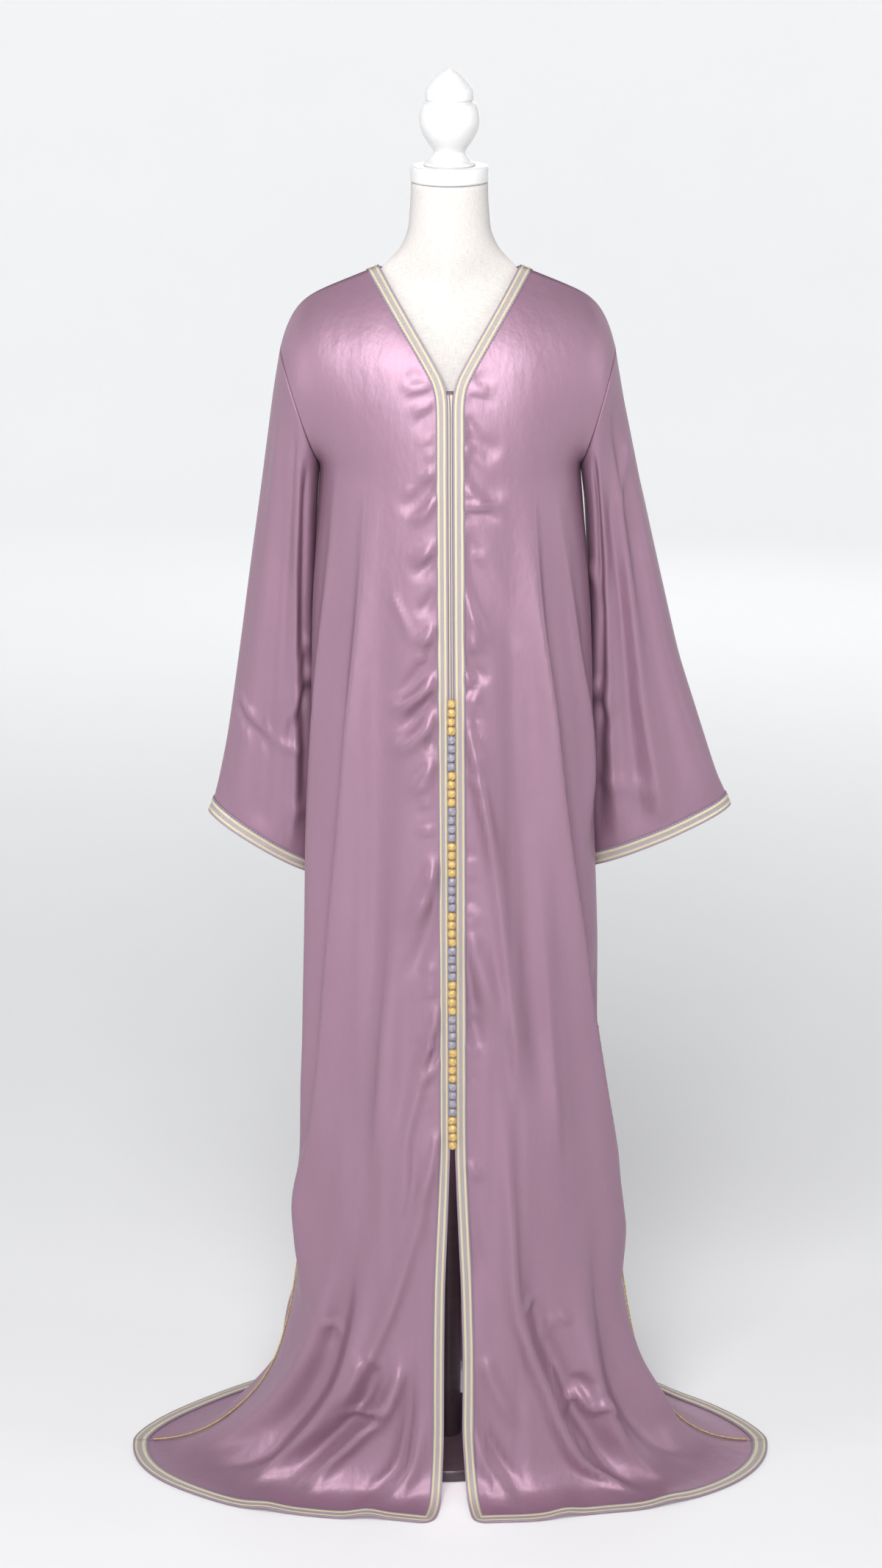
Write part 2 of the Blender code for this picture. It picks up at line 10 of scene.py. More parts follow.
import bpy
import numpy as np
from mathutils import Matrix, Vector


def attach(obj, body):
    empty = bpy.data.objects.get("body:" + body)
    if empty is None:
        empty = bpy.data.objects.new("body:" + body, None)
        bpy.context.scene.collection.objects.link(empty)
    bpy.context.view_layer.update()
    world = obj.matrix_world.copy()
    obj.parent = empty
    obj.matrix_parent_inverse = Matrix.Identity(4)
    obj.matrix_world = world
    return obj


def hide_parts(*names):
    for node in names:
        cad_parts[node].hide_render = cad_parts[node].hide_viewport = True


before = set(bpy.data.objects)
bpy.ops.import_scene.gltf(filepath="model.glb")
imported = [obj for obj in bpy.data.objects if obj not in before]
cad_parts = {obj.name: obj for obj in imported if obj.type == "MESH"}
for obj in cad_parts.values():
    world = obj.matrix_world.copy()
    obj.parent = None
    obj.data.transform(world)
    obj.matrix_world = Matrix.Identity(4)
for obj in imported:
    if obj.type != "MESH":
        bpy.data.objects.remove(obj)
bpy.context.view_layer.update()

# ---- sizes, in metres where a table does not say mm
GAP = 0.0003
SHELL = 0.0010                      # thickness of the satin shell
FLOOR_SKIN = 0.0018                 # the cloth's upper side where it lies on the floor
BRAID_WIDTH = 0.0155
BRAID_STEPS = 5                     # grid steps across one braid's width
FRONT_EXPONENT = 2.2
SIDES = {"right": -1, "left": 1}    # the wearer's; the front faces -Y
rng = np.random.default_rng(11)

# z, right, left, front, back, edge_right, edge_left, in mm: levels of the body, hem to underarm
BODY_ROWS = np.array((
    (1.8, 421, 425.5, 213, 262, -22, 33), (1.8, 405.5, 410, 197.5, 246.5, -15, 29),
    (1.8, 365, 368, 168, 215, -10, 25), (12, 330, 335, 152, 195, -9, 22.5),
    (40, 290, 300, 142, 178, -7.5, 20.5), (85, 248, 270, 137, 166, -6.2, 17.2),
    (134, 224, 248, 134, 158, -6.2, 17.8), (200, 207, 235, 132, 152, -6, 17.8),
    (290, 194, 221, 131, 147, -5, 15.5), (400, 187, 206, 131, 142, -1, 10.5),
    (491, 186, 198, 130, 139, 1.7, 7.2), (600, 184, 190, 129, 135, 1.4, 6.9),
    (720, 181, 189, 128, 131, 1, 6.5), (840, 175, 184, 127, 126, 0.6, 6.1),
    (950, 171, 178, 126, 122, 0.2, 5.7), (1060, 171, 178, 124, 117, -0.4, 5.1),
    (1160, 168, 174, 121, 112, -1, 4.5), (1255, 162, 166, 118, 107, -1.5, 4),
    (1335, 157, 159, 114, 102, -1.9, 3.6),
)) / 1000
# Fullness of the back's curve, level by level: less at the seven levels near the floor
BACK_EXPONENTS = np.full(len(BODY_ROWS), 2.2)
BACK_EXPONENTS[:7] = (1.5, 1.5, 1.5, 1.6, 1.75, 1.9, 2.05)
# rise (0 underarm to 1 shoulder), x from the centre line, y, z: edge of the upper front
FRONT_EDGE = np.array((
    (0, 0.00275, -0.114, 1.335), (0.18, 0.00275, -0.109, 1.39), (0.36, 0.00275, -0.102, 1.445),
    (0.52, 0.022, -0.088, 1.478), (0.68, 0.042, -0.068, 1.509), (0.84, 0.0635, -0.04, 1.542),
    (1, 0.084, 0, 1.5735),
))
V_RISE = 0.36
CENTRE_LINE_X = 0.00085
# rise, x, y, z: centre line of the upper back
BACK_CENTRE = np.array((
    (0, 0, 0.102, 1.335), (0.18, 0, 0.104, 1.382), (0.36, 0, 0.104, 1.425), (0.52, 0, 0.101, 1.462),
    (0.68, 0, 0.093, 1.5), (0.84, 0, 0.08, 1.535), (1, 0, 0.064, 1.556),
))
BACK_NECK_END = 0.45
# outer_x, outer_z, inner_x, inner_z, half_depth, y, in mm: rings of a sleeve, armhole to cuff
SLEEVE_ROWS = {
    "right": np.array((
        (203.5, 1474, 157, 1335, 62, 0), (213.5, 1416, 161.5, 1279, 58, 12),
        (233.9, 1275, 166.5, 1138, 48, 36), (257.6, 1115, 166.5, 1004.5, 43, 46),
        (281.3, 967.5, 167, 880.5, 40, 52), (298.4, 885.5, 168, 801.5, 38, 58),
        (305, 870.5, 168, 787, 38, 58),
    )) / 1000,
    "left": np.array((
        (200, 1474, 159, 1335, 62, 0), (208.5, 1419, 165, 1279, 58, 12), (239.9, 1277, 172.5, 1138, 48, 36),
        (287.7, 1078, 173, 984.5, 43, 46), (338.5, 924.5, 174, 860.5, 40, 52),
        (352.7, 893, 175, 812.5, 38, 58), (357.8, 878.5, 175, 797.5, 38, 58),
    )) / 1000,
}
HPS_X, HPS_Z = 0.0840, 1.5735
SHOULDER_SLOPE, SHOULDER_TURN = 0.40, 8.0
SLIT_TOP_Z = 0.491
CORD_RADIUS = 0.001
CORD_TOP_Z = 0.60
CORD_TURN, CORD_PLY = 0.007, 0.16   # length of one turn of the cord, depth of its plies as a share

# Grid sizes
LOWER_ROWS, UPPER_ROWS = 230, 52
FRONT_COLUMNS, NECK_COLUMNS = 62, 22
SLEEVE_ROUND, SLEEVE_LONG = 96, 110
CORNER_STATIONS, FAN_STATIONS = 15, 11    # of the braid where it turns at the hem and at the neck
# Rows left out of the back's cloth where it hangs nearly straight: under 200,000 triangles
SPARE_BACK_ROWS = (120, 140, 160, 180)


# ---- surface functions
def spow(value, power):
    return np.sign(value) * np.abs(value) ** power


def stack(x, y, z):
    return np.stack(np.broadcast_arrays(x, y, z), axis=-1).astype(float)


def lerp(a, b, t):
    return a + (b - a) * t


def lengths_along(points):
    """Distance along a line of points, from 0 at its first."""
    return np.concatenate(([0.0], np.cumsum(np.linalg.norm(np.diff(points, axis=0), axis=1))))


def column(rows, index, position):
    """One column of a table, read at fractional row positions."""
    return np.interp(position, np.arange(len(rows)), rows[:, index])


def ring(sign, facing, share, position):
    """Body surface below the underarm.  share 0 is the front edge or centre back."""
    width = column(BODY_ROWS, 2 if sign > 0 else 1, position)
    depth = column(BODY_ROWS, 3 if facing < 0 else 4, position)
    z = column(BODY_ROWS, 0, position)
    start, exponent = 0.0, np.interp(position, np.arange(len(BODY_ROWS)), BACK_EXPONENTS)
    if facing < 0:
        exponent = FRONT_EXPONENT
        edge = column(BODY_ROWS, 6 if sign > 0 else 5, position)
        start = np.arcsin(spow(sign * edge / width, exponent / 2.0))
    angle = lerp(start, math.pi / 2, share)
    power = 2.0 / exponent
    return stack(sign * width * spow(np.sin(angle), power), facing * depth * spow(np.cos(angle), power), z)


def sleeve_ring(side, position, angle):
    """Sleeve surface: angle 0 on the outer edge, half a turn at the underarm."""
    rows = SLEEVE_ROWS[side]
    outer_x, outer_z, inner_x, inner_z, depth, y = (column(rows, k, position) for k in range(6))
    x = (outer_x + inner_x) / 2 + (outer_x - inner_x) / 2 * np.cos(angle)
    z = (outer_z + inner_z) / 2 + (outer_z - inner_z) / 2 * np.cos(angle)
    return stack(SIDES[side] * x, y - depth * np.sin(angle), z)


def shoulder_seam(sign, share):
    end_x, end_z = SLEEVE_ROWS["left" if sign > 0 else "right"][0][:2]
    straight_end = HPS_Z - SHOULDER_SLOPE * (end_x - HPS_X)
    z = lerp(HPS_Z, straight_end, share) - (straight_end - end_z) * np.maximum(share, 0.0) ** SHOULDER_TURN
    return stack(sign * lerp(HPS_X, end_x, share), 0.0, z)


def back_top(sign, share):
    turn = np.minimum(share / BACK_NECK_END, 1.0) * math.pi / 2
    centre_y, centre_z = BACK_CENTRE[-1][2:]
    neck = stack(sign * HPS_X * np.sin(turn), centre_y * np.cos(turn),
                 lerp(centre_z, HPS_Z, 1.0 - np.cos(turn)))
    seam = shoulder_seam(sign, (share - BACK_NECK_END) / (1.0 - BACK_NECK_END))
    return np.where((share <= BACK_NECK_END)[..., None], neck, seam)


def upper(sign, facing, share, rise):
    """Body surface above the underarm, blended between the four edges of the panel."""
    side = "left" if sign > 0 else "right"
    table, top = (FRONT_EDGE, shoulder_seam) if facing < 0 else (BACK_CENTRE, back_top)
    x, y, z = (np.interp(rise, table[:, 0], table[:, k]) for k in (1, 2, 3))
    offset = CENTRE_LINE_X * (1.0 - rise) if facing < 0 else 0.0
    inner = stack(offset + sign * x, y, z)
    outer = sleeve_ring(side, 0.0, math.pi * (1.0 - rise))
    outer[..., 1] *= -facing
    last = len(BODY_ROWS) - 1
    zero, one = np.zeros_like(share), np.ones_like(share)
    w, v = share[..., None], rise[..., None]
    across = lerp(ring(sign, facing, share, last), top(sign, share), v) + lerp(inner, outer, w)
    low = lerp(ring(sign, facing, zero, last), ring(sign, facing, one, last), w)
    high = lerp(top(sign, zero), top(sign, one), w)
    return across - lerp(low, high, v)


def body_stations():
    """Row positions in the table, even steps along the cloth, fine over the hem braid."""
    lengths = lengths_along(BODY_ROWS[:, (3, 0)])
    hem = np.linspace(0.0, BRAID_WIDTH, BRAID_STEPS + 1)
    along = np.concatenate((hem, np.linspace(BRAID_WIDTH, lengths[-1], LOWER_ROWS)[1:]))
    return along, np.interp(along, lengths, np.arange(len(BODY_ROWS)))


ALONG_LOW, POSITIONS = body_stations()
UPPER_LENGTH = 0.29
RISES = np.linspace(0.0, 1.0, UPPER_ROWS)[1:]
ALONG = np.concatenate((ALONG_LOW, ALONG_LOW[-1] + RISES * UPPER_LENGTH))
HEIGHT_TO_ALONG = 0.054             # along is about this much more than z up the skirt
SLIT_ROW = int(np.argmin(np.abs(ALONG - SLIT_TOP_Z - HEIGHT_TO_ALONG)))
V_ROW = len(ALONG_LOW) - 1 + int(round(V_RISE * (UPPER_ROWS - 1)))


def surface(sign, facing, share):
    """Whole panel: share has one row for each station, or is one row for all."""
    share = np.broadcast_to(share, (len(ALONG), share.shape[-1]))
    low = len(ALONG_LOW)
    position = np.broadcast_to(POSITIONS[:, None], share[:low].shape)
    rise = np.broadcast_to(RISES[:, None], share[low:].shape)
    return np.concatenate((ring(sign, facing, share[:low], position), upper(sign, facing, share[low:], rise)))


def smoothed(grid, sigma, axis=0):
    """Gaussian smoothing along one axis that keeps the two ends in place."""
    grid = np.moveaxis(grid, axis, 0)
    reach = int(3 * sigma)
    first, last = 2 * grid[:1] - grid[reach:0:-1], 2 * grid[-1:] - grid[-2:-reach - 2:-1]
    padded = np.concatenate((first, grid, last))
    weights = np.exp(-0.5 * (np.arange(-reach, reach + 1) / sigma) ** 2)
    weights /= weights.sum()
    result = sum(w * padded[k:k + len(grid)] for k, w in enumerate(weights))
    return np.moveaxis(result, 0, axis)


def edge_shares(sign):
    """Share of each row that is one braid's width at the front edge."""
    step = 0.01
    pair = smoothed(surface(sign, -1, np.array((0.0, step))), 3.0)
    slope = (pair[:, 1] - pair[:, 0]) / step
    tangent = np.gradient(pair[:, 0], axis=0)
    tangent /= np.linalg.norm(tangent, axis=1, keepdims=True)
    return smoothed(BRAID_WIDTH / np.linalg.norm(np.cross(slope, tangent), axis=1), 3.0)


def front_shares(sign):
    first = edge_shares(sign)[:, None]
    braid = np.linspace(0.0, 1.0, BRAID_STEPS + 1)[:-1] * first
    return np.concatenate((braid, lerp(first, 1.0, np.linspace(0.0, 1.0, FRONT_COLUMNS))), axis=1)


def back_shares(sign):
    neck = np.linspace(0.0, BACK_NECK_END, NECK_COLUMNS + 1)[:-1]
    side = lerp(BACK_NECK_END, 1.0, front_shares(sign)[-1])
    return np.concatenate((neck, side))


def normals(grid, outward):
    across, up = np.gradient(grid, axis=1), np.gradient(grid, axis=0)
    normal = np.cross(across, up)
    normal /= np.maximum(np.linalg.norm(normal, axis=2, keepdims=True), 1e-12)
    return normal * outward


def sample(grid, rows, columns):
    """Bilinear reading of a grid at fractional row and column indices."""
    rows = np.clip(rows, 0, grid.shape[0] - 1.000001)
    columns = np.clip(columns, 0, grid.shape[1] - 1.000001)
    r, c = rows.astype(int), columns.astype(int)
    fr, fc = (rows - r)[..., None], (columns - c)[..., None]
    low = lerp(grid[r, c], grid[r, c + 1], fc)
    high = lerp(grid[r + 1, c], grid[r + 1, c + 1], fc)
    return lerp(low, high, fr)


# ---- folds
def curve_through(knots, values, at):
    """Smooth curve through a few values, flat beyond its ends."""
    knots, values = np.array(knots, float), np.array(values, float)
    slope = np.gradient(values, knots)
    at = np.clip(at, knots[0], knots[-1])
    k = np.clip(np.searchsorted(knots, at) - 1, 0, len(knots) - 2)
    gap = knots[k + 1] - knots[k]
    t = (at - knots[k]) / gap
    a, b = values[k], values[k + 1]
    cubic = (2 * t ** 3 - 3 * t ** 2 + 1) * a + (-2 * t ** 3 + 3 * t ** 2) * b
    return cubic + gap * ((t ** 3 - 2 * t ** 2 + t) * slope[k] + (t ** 3 - t ** 2) * slope[k + 1])


def smoothstep(low, high, value):
    t = np.clip((value - low) / (high - low), 0.0, 1.0)
    return t * t * (3.0 - 2.0 * t)


def long_fold(x, along, path, inner, outer, height):
    """A ridge (or trough, with negative height) that runs down the cloth."""
    feet = [point[0] for point in path]
    line = curve_through(feet, [point[1] for point in path], along)
    off = (x - line) * np.sign(path[-1][1])
    width = np.where(off < 0, inner, outer)
    length = feet[-1] - feet[0]
    rise_over, fall_over = min(0.35 * length, 0.09), min(0.60 * length, 0.38)
    ends = smoothstep(feet[0] - 0.02, feet[0] + rise_over, along)
    ends = ends * (1.0 - smoothstep(feet[-1] - fall_over, feet[-1] + 0.02, along))
    return height * ends * np.exp(-(off / width) ** 2)


def stroke(x, along, start, end, width, height, bend=0.0, tail=0.45):
    """A short crease from start to end, in (x, along), bowed sideways by bend."""
    step = np.array(end) - np.array(start)
    length = math.hypot(*step)
    unit = step / length
    t = ((x - start[0]) * unit[0] + (along - start[1]) * unit[1]) / length
    off = -(x - start[0]) * unit[1] + (along - start[1]) * unit[0] - 4 * bend * t * (1 - t)
    window = smoothstep(-0.06, 0.12, t) * (1.0 - smoothstep(1.0 - tail, 1.05, t))
    return height * window * np.exp(-(off / (width * (1.0 + 0.5 * t))) ** 2)


# Long folds, in mm: half-widths towards the centre and away from it, height out of the cloth
# (negative is a trough), then along and x of each point of the path, from the foot up
FRONT_FOLDS = {
    "right": (
        (16, 6, 6.5, 280, -190, 460, -176, 540, -165, 720, -150, 900, -134, 1100, -117, 1250, -105, 1440,
         -95),
        (9, 6, 4.5, 350, -184, 800, -172, 1080, -160, 1250, -146, 1420, -132),
        (7, 8, -5, 600, -172, 900, -148, 1150, -128, 1360, -112),
        (20, 22, -5, 350, -125, 600, -105, 900, -88, 1250, -70),
        (8, 14, 6, 120, -160, 210, -116, 250, -97, 320, -70, 400, -48, 500, -24, 600, -16),
        (6, 12, 4.5, 400, -68, 470, -56, 550, -52, 630, -34, 730, -13),
        (12, 15, -12, 55, -305, 75, -258, 120, -216, 165, -183, 280, -142, 420, -122),
        (13, 10, 8.5, 45, -262, 80, -225, 120, -186, 170, -153, 280, -116, 360, -105),
        (10, 13, 7.5, 55, -345, 85, -292, 120, -247, 170, -209, 280, -166, 380, -152),
        (9, 11, -7.5, 70, -201, 120, -156, 160, -120, 240, -86),
        (11, 9, 7.5, 45, -180, 75, -166, 120, -126, 160, -92, 260, -58),
        (7, 9, -6, 40, -107, 64, -95, 88, -72, 140, -55, 240, -45),
        (9, 8, 5, 35, -78, 88, -50, 160, -34),
        (16, 18, 3.5, 500, -96, 660, -83, 860, -70),
    ),
    "left": (
        (15, 5, 8, 300, 226, 400, 213.4, 460, 205, 700, 170, 800, 158, 910, 143, 1000, 132, 1100, 122, 1220,
         108, 1440, 96),
        (5, 9, -7, 550, 200, 750, 178, 910, 156, 1050, 138, 1220, 120, 1380, 110),
        (6, 7, 4.5, 920, 174, 1080, 166, 1160, 153.5, 1250, 143.5, 1360, 131),
        (8, 15, 5.5, 600, 88, 770, 71.5, 900, 56, 1020, 39, 1110, 21),
        (16, 18, -4, 600, 118, 850, 98, 1100, 80, 1320, 66),
        (12, 9, 9.5, 25, 262, 55, 222, 80, 184, 135, 148, 195, 125, 290, 92, 450, 78, 660, 68),
        (9, 14, -8.5, 45, 235, 90, 203, 140, 171, 200, 148, 290, 117, 420, 100),
        (12, 14, -11, 55, 332, 80, 286, 110, 259, 160, 231, 260, 208, 420, 186),
        (10, 12, 7, 45, 380, 80, 328, 110, 292, 160, 256, 260, 230),
        (12, 10, 8, 45, 290, 80, 245, 110, 224, 160, 200, 260, 178, 360, 166),
        (7, 8, -5.5, 60, 98, 75, 87, 105, 65, 140, 47, 260, 36),
        (7, 7, 4.5, 35, 82, 75, 62, 105, 45, 170, 32),
        (14, 16, 3, 500, 140, 700, 125, 920, 108),
    ),
}
# Short creases, in mm: x and along of the start and of the end, half-width, height, sideways bend
FRONT_CREASES = {
    "right": (
        (-31, 1520, -52, 1526, 4, -1.6, 2), (-18, 1503, -60, 1509, 4.5, 2.6, 3),
        (-18, 1493, -56, 1492, 4, -2.4, 2), (-18, 1480, -50, 1480, 5, 1.8, 1),
        (-16, 1389, -56, 1351, 8, -4, 3), (-16, 1371, -46, 1338, 5, 3.2, 2),
        (-56, 1371, -40, 1377, 2.2, 1.2, 2), (-16, 1311, -47, 1292, 5.5, 3, 2),
        (-16, 1299, -44, 1273, 4.5, -3.2, 1), (-16, 1257, -38, 1228, 5, -3, 2),
        (-16, 1215, -42, 1187, 5, 3, 2), (-16, 1191, -70, 1115, 7.5, -4.8, 4),
        (-18, 1150, -74, 1104, 6, 4.2, 3), (-18, 1131, -68, 1078, 6.5, -4.8, 4),
        (-18, 1101, -74, 1049, 7, 4, 4), (-18, 1047, -52, 998, 7, 3.2, 3),
        (-69, 1251, -42, 1191, 3.5, 1.4, 0), (-14, 921, -52, 825, 9, 4, 5), (-16, 880, -50, 760, 9, -3.6, 5),
        (-12, 730, -40, 640, 5, 3.8, 4), (-14, 700, -32, 625, 4.5, -3, 3), (-12, 663, -34, 624, 4.5, 3.2, 2),
        (-12, 561, -44, 450, 6, 4, 4), (-163, 268, -146, 274, 3, 2.8, 2), (-146, 274, -150, 246, 3.5, 3, 0),
        (-150, 262, -158, 236, 5, -3, 0), (-135, 160, -80, 178, 4.5, 5, -3),
        (-130, 150, -82, 165, 5, -5, -3), (-102, 250, -90, 222, 3.5, 3, 3),
        (-111, 244, -139, 160, 6, 3.6, 4), (-60, 230, -95, 130, 6, 3.4, 3),
    ),
    "left": (
        (27, 1514, 54, 1520, 4, -1.8, 1), (19, 1497, 52, 1498, 4.5, 2.4, 1),
        (19, 1487, 58, 1488, 4.5, -1.8, 1), (18, 1440.5, 62, 1427, 8, -4, -2),
        (18, 1412, 64, 1366, 9, -4.6, -4), (18, 1400, 52, 1385, 6, 2.6, -2),
        (18, 1359, 66, 1352, 3.2, 3.4, 3), (18, 1352, 62, 1345, 4.5, -3, 2),
        (18, 1383, 52, 1362, 5, 2.6, -2), (18, 1323, 78, 1185, 10, -5, -6), (19, 1257, 45, 1186, 5.5, 3, -3),
        (19, 1215, 40, 1176, 4.5, 2.6, -2), (19, 1179, 47, 1144, 6, -5, -4), (19, 1161, 37, 1133, 4, 4, -2),
        (20, 1131, 36, 1146, 4, -4, 1), (19, 1122, 40, 1122, 4, 3, 1), (20, 1113, 62, 880, 5.5, 3.6, -3),
        (34, 1065, 60, 900, 6, 2.2, -2), (18, 850, 80, 675, 10, 3.6, -6), (18, 795, 44, 655, 8, -3.6, -4),
        (23, 520, 42, 492, 5, 3, 0), (20, 480, 52, 330, 9, -3.4, -4), (150, 165, 165, 184, 4, 4.2, 0),
        (165, 184, 182, 153, 4.2, 4.6, 1), (182, 153, 199, 166, 4, 4.4, 0), (199, 166, 216, 141, 4.2, 4, 1),
        (132, 226, 153, 153, 5, 4, 2), (153, 153, 190, 100, 5.5, 4.2, 2), (163, 205, 186, 180, 6, -3.6, 1),
        (96, 310, 114, 328, 4.5, 2.8, 1), (143, 298, 157, 279, 3.5, 2.6, 1), (125, 262, 135, 300, 5, 2.4, 1),
        (46, 245, 90, 140, 7, 3.6, -3),
    ),
}
# The back hangs from the shoulder blades; its tables read as those of the fronts
BACK_FOLDS = (
    (16, 8, 8, 40, -300, 90, -222, 200, -172, 600, -140, 1000, -118, 1400, -100),
    (14, 12, -7, 40, -245, 90, -185, 200, -140, 600, -112, 1050, -92),
    (16, 11, 7.5, 40, -170, 90, -125, 200, -98, 600, -70, 1280, -52),
    (12, 14, -6, 40, -100, 120, -66, 300, -50, 900, -30),
    (16, 16, 5.5, 40, 20, 120, 12, 400, 10, 1100, 6),
    (12, 14, -6.5, 40, 90, 120, 62, 300, 46, 950, 34),
    (17, 10, 8.5, 40, 160, 90, 120, 200, 94, 600, 78, 1320, 60),
    (12, 13, -7, 40, 240, 90, 185, 200, 140, 600, 118, 1000, 98),
    (16, 8, 8, 40, 305, 90, 230, 200, 182, 600, 146, 1000, 124, 1400, 104),
    (12, 10, 5, 60, -365, 110, -262, 250, -198, 800, -160),
    (12, 10, 5, 60, 370, 110, 270, 250, 212, 800, 164),
)
BACK_CREASES = (
    (-60, 1560, -120, 1500, 8, -2.4, 4), (60, 1560, 125, 1490, 8, -2.6, -4),
    (-130, 1420, -80, 1380, 7, 2.6, 4), (135, 1410, 80, 1376, 7, 2.6, -4), (-105, 250, -60, 190, 6, 3.6, 3),
    (45, 230, 95, 160, 6, 3.6, -3), (130, 170, 190, 110, 7, 4, 3), (-150, 180, -210, 110, 7, 4, -3),
    (10, 190, -30, 130, 6, 3.4, 2),
)


def folds_of(table):
    """Path, half-widths and height of each long fold, in metres."""
    return [(np.reshape(path, (-1, 2)) / 1000, inner / 1000, outer / 1000, height / 1000)
            for inner, outer, height, *path in table]


def creases_of(table):
    """Start, end, half-width, height and bend of each crease, in metres."""
    return [((x / 1000, low / 1000), (end_x / 1000, end / 1000), width / 1000, height / 1000, bend / 1000)
            for x, low, end_x, end, width, height, bend in table]


def pucker_rows(sign):
    """Small seeded puckers where the braid gathers the front edge."""
    spots = np.sort(rng.uniform(0.56, 1.49, PUCKERS))
    creases = []
    for spot in spots:
        length = rng.uniform(0.010, 0.030)
        fall = rng.uniform(0.15, 1.1) * length
        height = rng.uniform(0.0007, 0.0019) * rng.choice((-1, 1))
        creases.append(((sign * PUCKER_START_X, spot), (sign * (PUCKER_START_X + length), spot - fall),
                        rng.uniform(0.0022, 0.0042), height, 0.001))
    return creases


FOLD_DEPTH, CREASE_DEPTH = 1.9, 2.1
BODY_SMOOTHING, SLEEVE_SMOOTHING = 2.5, 3.0    # in rows
PUCKERS, SOFT_FOLDS, SWELLS = 46, 26, 14
PUCKER_START_X = 0.0175
SWELL_HEIGHT = 0.00028
BODY_HALF = 0.16                     # half the width of the body at the hips
SLEEVE_BACK_SHIFT = 0.07             # share by which a sleeve's folds lie further out at its back
CREST_ABOVE, CREST_WIDTH, CREST_HEIGHT = 0.80, 0.0036, 0.0022    # sharp line along a tall fold
NECK_ALONG = 1.46                    # above this the creases are shallower
FORM_CLEARANCE = 0.0042              # deepest trough where the cloth lies close to the form


def clear_of_form(lift, along):
    """Keep troughs shallow where the dress form is just under the cloth."""
    limit = lerp(0.016, FORM_CLEARANCE, smoothstep(1.00, 1.22, along))
    return np.where(lift < 0, -limit * np.tanh(-lift / limit), lift)


def soft_folds(x, along, seed):
    """Seeded shallow folds that fall down the cloth and spread with the skirt."""
    draw = np.random.default_rng(seed)
    lift = np.zeros_like(x)
    for _ in range(SOFT_FOLDS):
        top, length = draw.uniform(0.55, 1.50), draw.uniform(0.30, 0.95)
        foot = max(top - length, 0.06)
        place = draw.uniform(-0.95, 0.95) * BODY_HALF
        lean = draw.uniform(0.05, 0.30) * (top - foot)
        path = ((foot, place * (1.0 + lean) + draw.normal(0, 0.006)),
                ((foot + top) / 2, place * (1.0 + 0.4 * lean)), (top, place))
        width = draw.uniform(0.005, 0.014)
        lift += long_fold(x, along, path, width, width * draw.uniform(0.6, 1.4),
                          draw.uniform(0.0008, 0.0024) * draw.choice((-1, 1)))
    return lift


def shift_of(x, along, folds, creases):
    """How far folds and creases move the cloth out at each point of a grid."""
    lift = np.zeros_like(x)
    for path, inner, outer, height in folds:
        lift += long_fold(x, along, path, inner, outer, height * FOLD_DEPTH)
        if height > 0 and path[-1][0] > CREST_ABOVE:
            lift += long_fold(x, along, path, CREST_WIDTH, CREST_WIDTH, CREST_HEIGHT)
    for start, end, width, height, bend in creases:
        depth = CREASE_DEPTH * (0.55 if start[1] > NECK_ALONG else 1.0)
        lift += stroke(x, along, start, end, width, height * depth, bend)
    return lift


def waver(x, along, seed):
    """Very shallow uneven swells, so that no stretch of satin is quite flat."""
    swell = np.random.default_rng(seed)
    total = np.zeros_like(x)
    for _ in range(SWELLS):
        pitch_x, pitch_a = swell.uniform(18, 75), swell.uniform(3, 22)
        total += np.sin(pitch_x * x + pitch_a * along + swell.uniform(0, 6.3)) * swell.uniform(0.3, 1.0)
    return total * SWELL_HEIGHT


def above_floor(grid):
    grid[..., 2] = np.maximum(grid[..., 2], FLOOR_SKIN)
    return grid


# x, half-width and height of the low humps along the hem
HEM_HUMPS = ((-0.105, 0.020, 0.0050), (0.150, 0.018, 0.0042), (-0.235, 0.022, 0.0034), (0.285, 0.022, 0.0034))
HEM_HALF = 0.43


def hem_waves(grid, facing):
    """The hem's edge wanders a little and lifts in a few low humps."""
    near = (1.0 - smoothstep(0.03, 0.09, ALONG))[:, None]
    x = grid[..., 0]
    push = 0.0035 * np.sin(21.0 * x + 0.8) + 0.0020 * np.sin(47.0 * x + 2.1)
    hump = sum(height * np.exp(-((x - place) / half) ** 2) for place, half, height in HEM_HUMPS)
    grid[..., 1] += facing * push * near * np.cos(np.clip(x / HEM_HALF, -1, 1) * math.pi / 2)
    grid[..., 2] += hump * near
    return grid


def round_corner(grid):
    """Turn the square corner of the slit edge and the hem into a quarter circle."""
    steps = np.arange(BRAID_STEPS + 1)
    rows, columns = np.meshgrid(steps, steps, indexing="ij")
    p, q = 1.0 - columns / BRAID_STEPS, 1.0 - rows / BRAID_STEPS
    new_p, new_q = p * np.sqrt(1.0 - q * q / 2.0), q * np.sqrt(1.0 - p * p / 2.0)
    grid[rows, columns] = sample(grid.copy(), BRAID_STEPS * (1.0 - new_q), BRAID_STEPS * (1.0 - new_p))
    return grid


def settle(along, shares):
    """Folds die away at the hem braid, at the side seam and at the shoulder."""
    kept = lerp(0.15, 1.0, smoothstep(BRAID_WIDTH * 0.8, 0.045, along))
    kept = kept * (1.0 - 0.85 * smoothstep(ALONG[-1] - 0.06, ALONG[-1], along))
    return kept * (1.0 - smoothstep(0.92, 1.0, shares))


def hang(sign, facing, shares, folds, creases, seeds, hold=1.0):
    """Points of a front or of half the back, with folds; hold is the share of them that is kept."""
    base = smoothed(surface(sign, facing, shares), BODY_SMOOTHING)
    x = base[..., 0]
    along = np.broadcast_to(ALONG[:, None], x.shape)
    lift = shift_of(x, along, folds_of(folds), creases)
    lift += waver(x, along, seeds[0]) + soft_folds(x, along, seeds[1])
    lift = clear_of_form(lift * hold * settle(along, shares), along)
    out = normals(base, -facing * sign)
    return above_floor(hem_waves(base + out * lift[..., None], facing))


